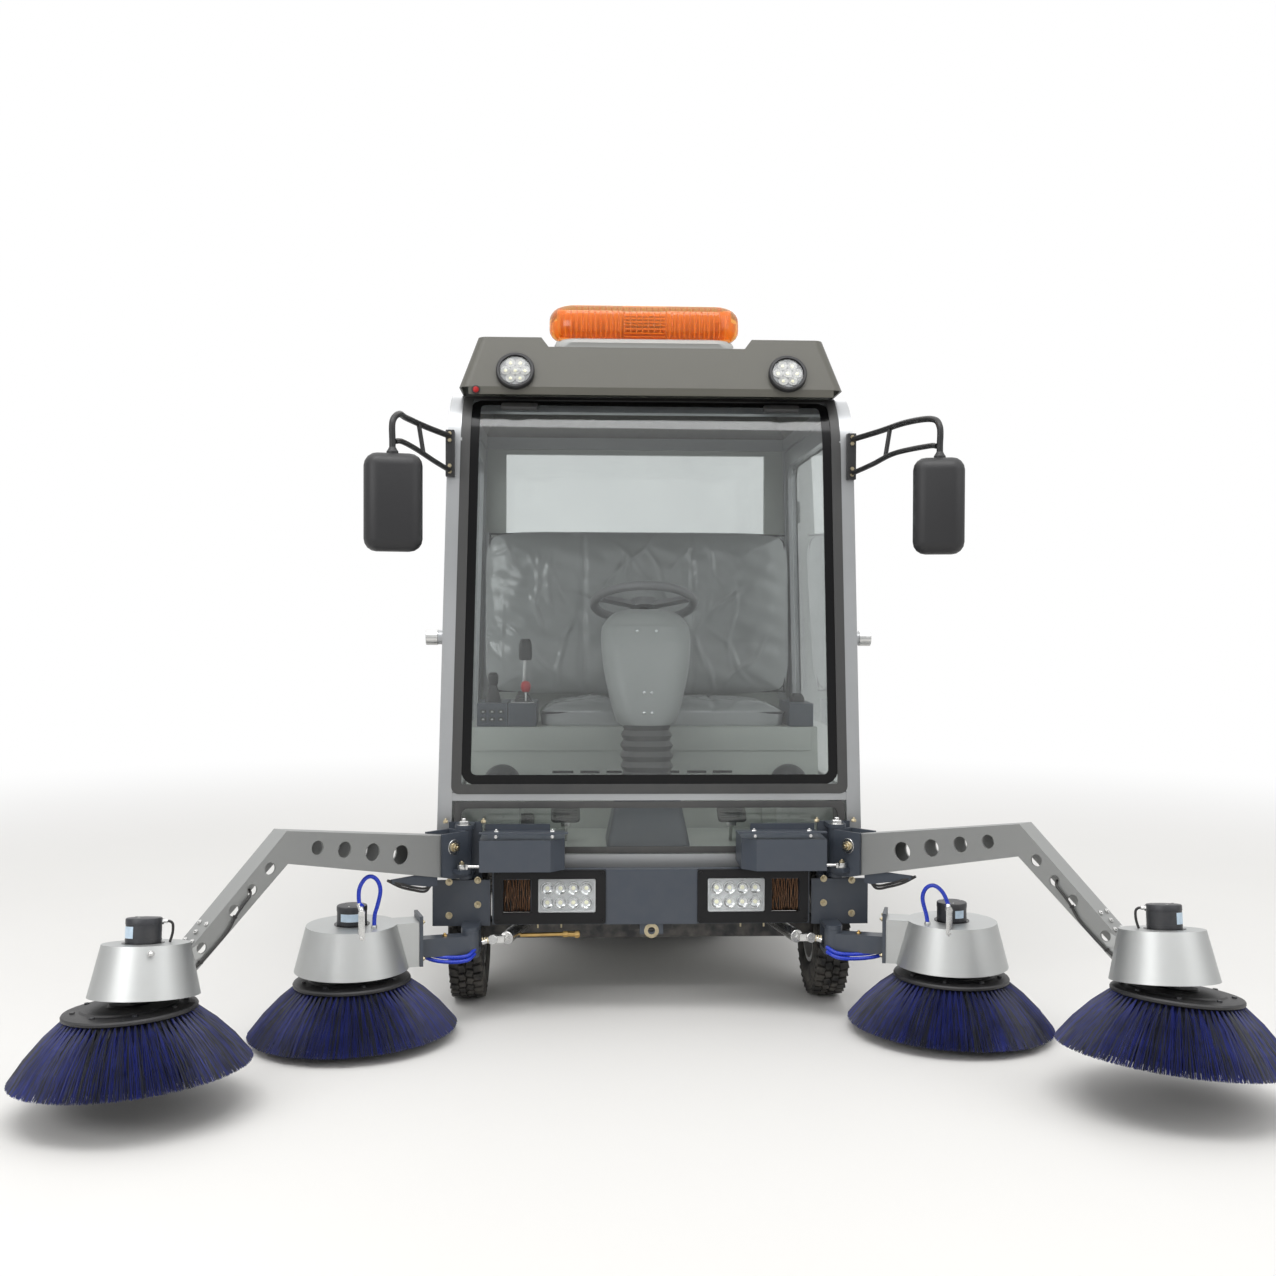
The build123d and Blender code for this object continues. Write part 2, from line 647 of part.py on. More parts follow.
def build_cab_frame():
    """Side hoops of the cab with the door hinges, and the bars that tie them."""
    hinge_back = CAB_DEPTH - FRAME_MEMBER - HINGE_INSET
    with BuildPart() as bars:
        for back, depth, low, high in BAR_TABLE:
            with Locations((0, CAB_FRONT + back + depth / 2, (low + high) / 2)):
                Box(CAB_WIDTH, depth, high - low)
        trim_to_cab(FRAME_THICKNESS)
    with BuildPart() as cab_frame:
        for side in (1, -1):
            with BuildSketch(side_plane(side)) as outline:
                side_outline(side, 0)
                round_top_corners(outline, FRAME_FRONT_RADIUS, FRAME_REAR_RADIUS)
            extrude(amount=-FRAME_THICKNESS)
            with BuildSketch(side_plane(side)) as opening:
                side_outline(side, FRAME_MEMBER)
                round_top_corners(opening, FRAME_FRONT_RADIUS - FRAME_MEMBER, 8)
            extrude(amount=-FRAME_THICKNESS, mode=Mode.SUBTRACT)
            for hinge in HINGE_HEIGHTS:
                with BuildSketch(hinge_plane(side, hinge - HINGE_BARREL_LENGTH)):
                    with Locations((hinge_back, -side * HINGE_OUT)):
                        Circle(HINGE_BARREL_RADIUS)
                    with Locations((hinge_back + HINGE_LEAF / 2, -side * (HINGE_OUT - 2) / 2)):
                        Rectangle(HINGE_LEAF, HINGE_OUT + 2)
                extrude(amount=HINGE_BARREL_LENGTH)
                with BuildSketch(hinge_plane(side, hinge)):
                    with Locations((hinge_back, -side * HINGE_OUT)):
                        Circle(HINGE_PIN_RADIUS)
                extrude(amount=HINGE_BARREL_LENGTH - 2)
        add(bars.part)
    finish(cab_frame.part, "cab_frame")


def build_cab_tub():
    """Cab floor with the hollow seat riser, and the rear wall with its window."""
    floor_front = SILL_RAIL_DEPTH + SEAT_GAP
    floor_end = CAB_DEPTH - FRAME_MEMBER - SEAT_GAP
    riser_end = CAB_DEPTH - REAR_WALL_THICKNESS
    riser_depth = riser_end - RISER_BACK
    wall_y = CAB_REAR - REAR_WALL_THICKNESS / 2
    wall_low = CAB_SILL_HEIGHT + FRAME_MEMBER + SEAT_GAP
    wall_high = CAB_TOP_HEIGHT - FRAME_MEMBER - SEAT_GAP
    with BuildPart() as cab_tub:
        with Locations((0, CAB_FRONT + (floor_front + floor_end) / 2, FLOOR_TOP - FLOOR_THICKNESS / 2)):
            Box(CAB_WIDTH, floor_end - floor_front, FLOOR_THICKNESS)
        with Locations((0, CAB_FRONT + (RISER_BACK + floor_end) / 2, (FLOOR_TOP + RISER_TOP) / 2)):
            Box(CAB_WIDTH, floor_end - RISER_BACK, RISER_TOP - FLOOR_TOP)
        with Locations((0, CAB_FRONT + (RISER_BACK + riser_end) / 2, (wall_low + RISER_TOP) / 2)):
            Box(CAB_WIDTH, riser_depth + 2, RISER_TOP - wall_low)
        with Locations((0, CAB_FRONT + (RISER_BACK + riser_end) / 2, (FLOOR_TOP + RISER_TOP) / 2 - SHEET)):
            Box(2 * RISER_INNER_X, riser_depth - 2 * SHEET, RISER_TOP - FLOOR_TOP, mode=Mode.SUBTRACT)
        with Locations((0, wall_y, (wall_low + wall_high) / 2)):
            Box(CAB_WIDTH, REAR_WALL_THICKNESS, wall_high - wall_low)
        with Locations((0, wall_y, REAR_WINDOW_HEIGHT)):
            Box(REAR_WINDOW_WIDTH, 2 * REAR_WALL_THICKNESS, REAR_WINDOW_TALL, mode=Mode.SUBTRACT)
        trim_to_cab(FRAME_THICKNESS + SEAT_GAP)
    finish(cab_tub.part, "cab_tub")


def build_cab_glass():
    """Windscreen that curls back under the roof, the lower window and the rear window."""
    centre_y = CAB_FRONT + FRAME_FRONT_RADIUS
    centre_z = CAB_TOP_HEIGHT - FRAME_FRONT_RADIUS
    outer = FRAME_FRONT_RADIUS - SCREEN_SETBACK
    inner = outer - SCREEN_THICKNESS
    end = radians(180 - SCREEN_CURL)
    low = BAR_TOP + SEAT_GAP
    with BuildPart() as windscreen:
        with BuildSketch(Plane.YZ):
            with Locations((centre_y - outer + SCREEN_THICKNESS / 2, (low + centre_z) / 2)):
                Rectangle(SCREEN_THICKNESS, centre_z - low)
            with BuildLine():
                CenterArc((centre_y, centre_z), outer, 180, -SCREEN_CURL)
                CenterArc((centre_y, centre_z), inner, 180, -SCREEN_CURL)
                Line((centre_y - outer, centre_z), (centre_y - inner, centre_z))
                Line(
                    (centre_y + outer * cos(end), centre_z + outer * sin(end)),
                    (centre_y + inner * cos(end), centre_z + inner * sin(end)),
                )
            make_face()
        extrude(amount=CAB_WIDTH / 2, both=True)
        trim_to_cab(FRAME_THICKNESS + SEAT_GAP)
    finish(windscreen.part, "windscreen")

    with BuildPart() as cab_windows:
        low = CAB_SILL_HEIGHT + SILL_RAIL_HEIGHT + SEAT_GAP
        high = BAR_BOTTOM - SEAT_GAP
        with Locations((0, CAB_FRONT + SCREEN_SETBACK + GLASS_THICKNESS / 2, (low + high) / 2)):
            Box(CAB_WIDTH, GLASS_THICKNESS, high - low)
        trim_to_cab(FRAME_THICKNESS + SEAT_GAP)
        with Locations((0, CAB_REAR - REAR_WALL_THICKNESS / 2, REAR_WINDOW_HEIGHT)):
            Box(REAR_WINDOW_WIDTH - 2 * SEAT_GAP, GLASS_THICKNESS, REAR_WINDOW_TALL - 2 * SEAT_GAP)
    finish(cab_windows.part, "cab_windows")


def build_roof():
    """Hollow roof cap with its raked visor, and the beacon bar on it."""
    base_z = CAB_TOP_HEIGHT + SEAT_GAP
    front = CAB_FRONT - VISOR_AHEAD
    with BuildPart() as roof_cap:
        for wall, low, high, mode in (
            (0, base_z, ROOF_TOP, Mode.ADD),
            (ROOF_WALL, base_z, ROOF_TOP - ROOF_WALL, Mode.SUBTRACT),
        ):
            for z, width, fore, aft in (
                (low, ROOF_BOTTOM_WIDTH, front, CAB_REAR),
                (high, ROOF_TOP_WIDTH, front + VISOR_RAKE, CAB_REAR - ROOF_REAR_RAKE),
            ):
                with BuildSketch(Plane.XY.offset(z)):
                    with Locations((0, (fore + aft) / 2)):
                        RectangleRounded(width - 2 * wall, aft - fore - 2 * wall, ROOF_CORNER - wall)
            loft(mode=mode)
        with Locations((0, front + ROOF_WALL / 2, base_z - VISOR_LIP / 2)):
            Box(ROOF_BOTTOM_WIDTH - 2 * ROOF_CORNER, ROOF_WALL, VISOR_LIP + 2)
        floor = ROOF_TOP - RECESS_DEPTH
        recess_end = CAB_FRONT + BEACON_BACK + BEACON_DEPTH / 2 + RECESS_MARGIN
        lip_start = front + VISOR_RAKE
        floor_start = front + VISOR_RAKE * (floor - base_z) / (ROOF_TOP - base_z)
        pan_middle = (floor_start + 3 + recess_end + ROOF_WALL) / 2
        pan_length = recess_end + ROOF_WALL - floor_start - 3
        with Locations((BEACON_OFFSET, pan_middle, floor - ROOF_WALL / 2)):
            Box(2 * (RECESS_HALF + ROOF_WALL), pan_length, ROOF_WALL)
        for wall, start, end, mode in (
            (ROOF_WALL, lip_start, recess_end + ROOF_WALL, Mode.ADD),
            (0, front - VISOR_RAKE, recess_end, Mode.SUBTRACT),
        ):
            low_half = RECESS_HALF + wall
            high_half = low_half + RECESS_SHOULDER
            with BuildSketch(Plane.XZ.offset(-start)):
                with BuildLine():
                    Polyline(
                        (BEACON_OFFSET - low_half, floor - wall),
                        (BEACON_OFFSET + low_half, floor - wall),
                        (BEACON_OFFSET + high_half, ROOF_TOP),
                        (BEACON_OFFSET - high_half, ROOF_TOP),
                        close=True,
                    )
                make_face()
            extrude(amount=start - end, mode=mode)
    finish(roof_cap.part, "roof_cap")

    with BuildPart() as beacon_bar:
        with BuildSketch(Plane.XY.offset(ROOF_TOP - RECESS_DEPTH + SEAT_GAP)):
            with Locations((BEACON_OFFSET, CAB_FRONT + BEACON_BACK)):
                RectangleRounded(BEACON_LENGTH - 60, BEACON_DEPTH - 40, 20)
        extrude(amount=RECESS_DEPTH + BEACON_BASE)
        with BuildSketch(Plane.XY.offset(ROOF_TOP + BEACON_BASE)):
            with Locations((BEACON_OFFSET, CAB_FRONT + BEACON_BACK)):
                RectangleRounded(BEACON_LENGTH, BEACON_DEPTH, BEACON_DEPTH / 2 - 5)
        extrude(amount=BEACON_TALL)
        fillet(beacon_bar.edges().group_by(Axis.Z)[-1], radius=22)
    finish(beacon_bar.part, "beacon_bar")


def build_cab_inside():
    """Steering column with pedals, steering wheel, seat and side consoles."""
    wheel_plane = Plane(
        origin=(0, CAB_FRONT + STEERING_BACK, STEERING_HEIGHT),
        x_dir=(1, 0, 0),
        z_dir=(0, sin(radians(STEERING_TILT)), cos(radians(STEERING_TILT))),
    )
    with BuildPart() as steering_column:
        for rows in (COLUMN_TABLE[:2], COLUMN_TABLE[2:4], COLUMN_TABLE[4:]):
            for z, width, depth, back in rows:
                with BuildSketch(Plane.XY.offset(z)):
                    with Locations((0, CAB_FRONT + back)):
                        RectangleRounded(width, depth, COLUMN_CORNER)
            loft()
        with BuildSketch(wheel_plane.offset(-160)):
            Circle(COLUMN_SHAFT)
        extrude(amount=140 - SEAT_GAP)
        for x in PEDAL_X:
            with Locations((x, CAB_FRONT + PEDAL_BACK, (FLOOR_TOP + PEDAL_HEIGHT) / 2 + SEAT_GAP)):
                Cylinder(8, PEDAL_HEIGHT - FLOOR_TOP)
            with Locations(Location((x, CAB_FRONT + PEDAL_BACK, PEDAL_HEIGHT), (35, 0, 0))):
                Box(92, 110, 12)
    finish(steering_column.part, "steering_column")

    with BuildPart() as steering_wheel:
        with BuildSketch(Plane(wheel_plane.origin, x_dir=(1, 0, 0), z_dir=-wheel_plane.y_dir)):
            with Locations((STEERING_RADIUS, 0)):
                Circle(STEERING_GRIP)
        revolve(axis=Axis(wheel_plane.origin, wheel_plane.z_dir))
        with BuildSketch(wheel_plane.offset(-20)):
            Circle(48)
            with PolarLocations(STEERING_RADIUS / 2, 3, start_angle=90):
                Rectangle(STEERING_RADIUS - 6, 34)
        extrude(amount=14)
        with BuildSketch(wheel_plane.offset(-20)):
            Circle(48)
        extrude(amount=28)
    finish(steering_wheel.part, "steering_wheel")

    with BuildPart() as seat:
        with Locations((0, CAB_FRONT + SEAT_BACK + SEAT_DEPTH / 2, RISER_TOP + SEAT_GAP + SEAT_TALL / 2)):
            Box(SEAT_WIDTH, SEAT_DEPTH, SEAT_TALL)
        rest_y = CAB_FRONT + SEAT_BACK + SEAT_DEPTH + BACKREST_DEPTH / 2 - 10
        with Locations((0, rest_y, RISER_TOP + SEAT_GAP + BACKREST_TALL / 2)):
            Box(SEAT_WIDTH, BACKREST_DEPTH, BACKREST_TALL)
        fillet(seat.edges().filter_by(Axis.Y).group_by(Axis.Z)[-1], radius=40)
    finish(seat.part, "seat")

    with BuildPart() as side_consoles:
        for centre_x, width in CONSOLE_TABLE:
            with Locations((centre_x, CAB_FRONT + RISER_BACK + CONSOLE_DEPTH / 2 + 10, RISER_TOP + SEAT_GAP + CONSOLE_TALL / 2)):
                Box(width, CONSOLE_DEPTH, CONSOLE_TALL)
            for lever in (-LEVER_SPREAD, LEVER_SPREAD):
                lever_y = CAB_FRONT + RISER_BACK + CONSOLE_DEPTH / 2 - 20
                with Locations((centre_x + lever, lever_y, RISER_TOP + CONSOLE_TALL + LEVER_TALL / 2 - 5)):
                    Cylinder(LEVER_RADIUS, LEVER_TALL)
    finish(side_consoles.part, "side_consoles")


def door_window(side, border, gap):
    """Rounded window outline of a door, drawn a gap inside its opening."""
    high = CAB_TOP_HEIGHT - CAB_SILL_HEIGHT - border
    low = WINDOW_SILL - CAB_SILL_HEIGHT
    with Locations((side * CAB_DEPTH / 2, (low + high) / 2)):
        RectangleRounded(CAB_DEPTH - 2 * border - 2 * gap, high - low - 2 * gap, WINDOW_RADIUS - gap)


def build_doors():
    """Rear-hinged doors with their window openings, glass and handle."""
    edge = FRAME_MEMBER + DOOR_GAP
    border = edge + DOOR_STILE
    hinge_back = CAB_DEPTH - FRAME_MEMBER - HINGE_INSET
    for name, side, _ in SIDES:
        with BuildPart() as door:
            with BuildSketch(side_plane(side, DOOR_INSET)) as outline:
                side_outline(side, edge)
                round_top_corners(outline, FRAME_FRONT_RADIUS - edge, 8)
            extrude(amount=-DOOR_THICKNESS)
            with BuildSketch(side_plane(side, DOOR_INSET)):
                door_window(side, border, 0)
            extrude(amount=-DOOR_THICKNESS, mode=Mode.SUBTRACT)
            with BuildSketch(side_plane(side, DOOR_INSET)):
                with Locations((side * HANDLE_BACK, HANDLE_HEIGHT - CAB_SILL_HEIGHT)):
                    Circle(HANDLE_RADIUS)
            extrude(amount=HANDLE_OUT)
            for hinge in HINGE_HEIGHTS:
                with BuildSketch(hinge_plane(side, hinge + SEAT_GAP)):
                    with Locations((hinge_back - HINGE_LEAF / 2, -side * (HINGE_OUT - DOOR_INSET - 1) / 2)):
                        Rectangle(HINGE_LEAF, HINGE_OUT + DOOR_INSET + 1)
                    with Locations((hinge_back, -side * HINGE_OUT)):
                        Circle(HINGE_BARREL_RADIUS)
                        Circle(HINGE_PIN_RADIUS + PIN_CLEARANCE, mode=Mode.SUBTRACT)
                extrude(amount=HINGE_BARREL_LENGTH)
        finish(door.part, f"door_{name}")

        pane_inset = DOOR_INSET + (DOOR_THICKNESS - GLASS_THICKNESS) / 2
        with BuildPart() as glass:
            with BuildSketch(side_plane(side, pane_inset)):
                door_window(side, border, SEAT_GAP)
            extrude(amount=-GLASS_THICKNESS)
        finish(glass.part, f"door_glass_{name}")


def roof_lamp_plane(side):
    """Plane on the raked face of the roof cap where a round lamp sits."""
    height = ROOF_TOP - CAB_TOP_HEIGHT - SEAT_GAP
    rake = Vector(0, VISOR_RAKE, height).normalized()
    rise = ROOF_LAMP_HEIGHT - CAB_TOP_HEIGHT - SEAT_GAP
    lamp_y = CAB_FRONT - VISOR_AHEAD + VISOR_RAKE * rise / height
    origin = (side * ROOF_LAMP_X, lamp_y, ROOF_LAMP_HEIGHT)
    return Plane(origin=origin, x_dir=(1, 0, 0), z_dir=Vector(1, 0, 0).cross(rake))


def build_front():
    """Front bumper and all front lamps."""
    face = CAB_FRONT - BUMPER_AHEAD
    centre_z = (BUMPER_BOTTOM + BUMPER_TOP) / 2
    tall = BUMPER_TOP - BUMPER_BOTTOM
    with BuildPart() as front_bumper:
        with Locations((0, face + BUMPER_DEPTH / 2, centre_z)):
            Box(2 * BUMPER_HALF, BUMPER_DEPTH, tall)
            with Locations((0, BUMPER_WALL, 0)):
                Box(2 * BUMPER_HALF - 2 * BUMPER_WALL, BUMPER_DEPTH, tall - 2 * BUMPER_WALL, mode=Mode.SUBTRACT)
        for side in (1, -1):
            for centre_x, width, lamp_tall, _ in LAMP_TABLE:
                with Locations((side * centre_x, face, LAMP_HEIGHT)):
                    Box(width, 4 * BUMPER_WALL, lamp_tall, mode=Mode.SUBTRACT)
            bracket_front = face + BUMPER_DEPTH - BUMPER_WALL
            bracket_length = CAB_FRONT - SEAT_GAP - bracket_front
            with Locations((side * RAIL_X, bracket_front + bracket_length / 2, centre_z)):
                Box(RAIL_WIDTH, bracket_length, tall)
            with Locations((side * RAIL_X, CAB_FRONT, CAB_SILL_HEIGHT + 20)):
                Box(2 * RAIL_WIDTH, 2 * BUMPER_WALL, 45, mode=Mode.SUBTRACT)
        with Locations((0, face - CENTRE_PROUD / 2, centre_z)):
            Box(2 * CENTRE_HALF, CENTRE_PROUD, tall)
        with Locations((0, face + TOW_LUG / 2, TOW_EYE_HEIGHT)):
            Box(70, TOW_LUG, 2 * (BUMPER_BOTTOM - TOW_EYE_HEIGHT) + 2)
        with Locations(Location((0, face + TOW_LUG / 2, TOW_EYE_HEIGHT), (90, 0, 0))):
            Cylinder(TOW_EYE_RADIUS, 3 * TOW_LUG, mode=Mode.SUBTRACT)
    finish(front_bumper.part, "front_bumper")

    with BuildPart() as front_lamps:
        for side in (1, -1):
            for centre_x, width, lamp_tall, lamp_depth in LAMP_TABLE:
                with Locations((side * centre_x, face - LAMP_PROUD + lamp_depth / 2, LAMP_HEIGHT)):
                    Box(width - 2 * SEAT_GAP, lamp_depth, lamp_tall - 2 * SEAT_GAP)
            with BuildSketch(roof_lamp_plane(side).offset(SEAT_GAP)):
                Circle(ROOF_LAMP_RADIUS)
            extrude(amount=ROOF_LAMP_DEPTH)
    finish(front_lamps.part, "front_lamps")


def build_arm_mounts():
    """Bolt plates with the fixed swing pins, and the swing actuators' boxes."""
    plate_y = CAB_FRONT - MOUNT_AHEAD
    swing_y = CAB_FRONT - OUTER_SWING_AHEAD
    inner_y = CAB_FRONT - INNER_SWING_AHEAD
    swing_high = SWING_TOP + SWING_PLATE
    with BuildPart() as arm_mounts:
        for side in (1, -1):
            swing_x = side * OUTER_SWING_X
            inner_x = side * INNER_SWING_X
            with Locations((side * (MOUNT_INNER + MOUNT_OUTER) / 2, plate_y + MOUNT_PLATE / 2,
                            (MOUNT_BOTTOM + MOUNT_TOP) / 2)):
                Box(MOUNT_OUTER - MOUNT_INNER, MOUNT_PLATE, MOUNT_TOP - MOUNT_BOTTOM)
            with Locations((swing_x, (plate_y + CAB_FRONT - SEAT_GAP) / 2, MOUNT_TOP - MOUNT_PLATE / 2)):
                Box(SWING_BACK_WIDTH, MOUNT_AHEAD - SEAT_GAP, MOUNT_PLATE)
            with Locations((swing_x, CAB_FRONT - SEAT_GAP - MOUNT_PLATE / 2, (MOUNT_TOP - 20 + swing_high) / 2)):
                Box(SWING_BACK_WIDTH, MOUNT_PLATE, swing_high - MOUNT_TOP + 20)
            for z in (SWING_BOTTOM - SWING_PLATE, SWING_TOP):
                with BuildSketch(Plane.XY.offset(z)):
                    with Locations((swing_x, swing_y)):
                        Circle(SWING_TONGUE)
                    with Locations((swing_x, (swing_y + CAB_FRONT - SEAT_GAP) / 2)):
                        Rectangle(2 * SWING_TONGUE, OUTER_SWING_AHEAD - SEAT_GAP)
                extrude(amount=SWING_PLATE)
            with Locations((swing_x, swing_y, (SWING_BOTTOM - SWING_PLATE + swing_high) / 2 - 1.5)):
                Cylinder(SWING_PIN, swing_high - SWING_BOTTOM + SWING_PLATE + 3)
            for z in (INNER_EAR_BOTTOM, INNER_EAR_TOP):
                reach = INNER_SWING_AHEAD - MOUNT_AHEAD + MOUNT_PLATE
                with BuildSketch(Plane.XY.offset(z)):
                    with Locations((inner_x, inner_y)):
                        Circle(INNER_EAR)
                    with Locations((inner_x, inner_y + reach / 2)):
                        Rectangle(2 * INNER_EAR, reach)
                extrude(amount=INNER_EAR_PLATE)
            with Locations((inner_x, plate_y + MOUNT_PLATE / 2, (INNER_EAR_BOTTOM + MOUNT_BOTTOM) / 2 + 1)):
                Box(2 * INNER_EAR, MOUNT_PLATE, MOUNT_BOTTOM - INNER_EAR_BOTTOM + 2)
            with Locations((inner_x, inner_y, (INNER_EAR_BOTTOM + INNER_EAR_TOP + INNER_EAR_PLATE) / 2)):
                Cylinder(INNER_PIN, INNER_EAR_TOP + INNER_EAR_PLATE - INNER_EAR_BOTTOM)
    finish(arm_mounts.part, "arm_mounts")

    box_length = ACTUATOR_OUTER - ACTUATOR_INNER
    with BuildPart() as brush_actuators:
        for side in (1, -1):
            box_x = side * (ACTUATOR_INNER + ACTUATOR_OUTER) / 2
            with BuildSketch(Plane.XY.offset(ACTUATOR_BOTTOM)):
                with BuildLine():
                    Polyline(
                        (side * ACTUATOR_OUTER, CAB_FRONT - FLANGE),
                        (side * ACTUATOR_OUTER, CAB_FRONT - ACTUATOR_AHEAD),
                        (side * ACTUATOR_INNER, CAB_FRONT - ACTUATOR_AHEAD),
                        (side * (ACTUATOR_INNER - ACTUATOR_CHAMFER), CAB_FRONT - ACTUATOR_AHEAD + ACTUATOR_CHAMFER),
                        (side * (ACTUATOR_INNER - ACTUATOR_CHAMFER), CAB_FRONT - FLANGE),
                        close=True,
                    )
                make_face()
            extrude(amount=ACTUATOR_TOP - ACTUATOR_BOTTOM)
            with Locations((box_x, CAB_FRONT - SEAT_GAP - FLANGE / 2, (FLANGE_BOTTOM + FLANGE_TOP) / 2)):
                Box(box_length - 10, FLANGE, FLANGE_TOP - FLANGE_BOTTOM)
            with Locations(Location((side * (ACTUATOR_OUTER - ROD_BORE_DEPTH / 2 + 1), CAB_FRONT - ROD_AHEAD,
                                     ROD_HEIGHT), (0, 90, 0))):
                Cylinder(ROD_RADIUS + PIN_CLEARANCE, ROD_BORE_DEPTH + 2, mode=Mode.SUBTRACT)
    finish(brush_actuators.part, "brush_actuators")


def build_mirrors():
    """Mirror heads on pairs of tubes that reach ahead of the cab."""
    middle = (MIRROR_UPPER + MIRROR_LOWER) / 2
    with BuildPart() as mirrors:
        for side in (1, -1):
            head_x = side * MIRROR_X
            head_y = CAB_FRONT - MIRROR_AHEAD
            with BuildSketch(side_plane(side).offset(SEAT_GAP)):
                with Locations((side * 14, middle - CAB_SILL_HEIGHT)):
                    Rectangle(24, MIRROR_UPPER - MIRROR_LOWER + 36)
            extrude(amount=MIRROR_BRACKET)
            lean = CAB_TOP_INSET * (middle - CAB_SILL_HEIGHT) / (CAB_TOP_HEIGHT - CAB_SILL_HEIGHT)
            root = (side * (CAB_WIDTH / 2 - lean + MIRROR_BRACKET / 2), CAB_FRONT + 14)
            with BuildLine() as upper:
                FilletPolyline(
                    (root[0], root[1], MIRROR_UPPER),
                    (head_x, head_y, MIRROR_UPPER),
                    (head_x, head_y, MIRROR_TOP - 30),
                    radius=40,
                )
            with BuildSketch(Plane(origin=upper.line @ 0, z_dir=upper.line % 0)):
                Circle(MIRROR_TUBE)
            sweep(path=upper.line)
            with BuildLine() as lower:
                Line((root[0], root[1], MIRROR_LOWER), (head_x, head_y, MIRROR_LOWER))
            with BuildSketch(Plane(origin=lower.line @ 0, z_dir=lower.line % 0)):
                Circle(MIRROR_TUBE)
            sweep(path=lower.line)
            with BuildSketch(Plane.XY.offset(MIRROR_BOTTOM)):
                with Locations((head_x, head_y)):
                    RectangleRounded(MIRROR_WIDTH, MIRROR_DEPTH, 30)
            extrude(amount=MIRROR_TOP - MIRROR_BOTTOM)
    finish(mirrors.part, "mirrors")


def build_mid_body():
    """Mid body behind the cab, open below, and the battery block in it."""
    middle_y = CAB_REAR + BODY_GAP + MID_LENGTH / 2
    base_z = RAIL_TOP + SEAT_GAP
    cavity_tall = MID_TOP - MID_CEILING - base_z + 10
    with BuildPart() as mid_body:
        with Locations((0, middle_y, (base_z + MID_TOP) / 2)):
            Box(MID_WIDTH, MID_LENGTH, MID_TOP - base_z)
        fillet(mid_body.edges().filter_by(Axis.Y).group_by(Axis.Z)[-1], radius=MID_RADIUS)
        with Locations((0, middle_y, MID_TOP - MID_CEILING - cavity_tall / 2)):
            Box(MID_WIDTH - 2 * MID_WALL, MID_LENGTH - 2 * MID_WALL, cavity_tall, mode=Mode.SUBTRACT)
    finish(mid_body.part, "mid_body")

    with BuildPart() as battery_pack:
        with Locations((0, middle_y, base_z + BATTERY_TALL / 2)):
            Box(BATTERY_WIDTH, MID_LENGTH - 2 * MID_WALL - 10, BATTERY_TALL)
    finish(battery_pack.part, "battery_pack")


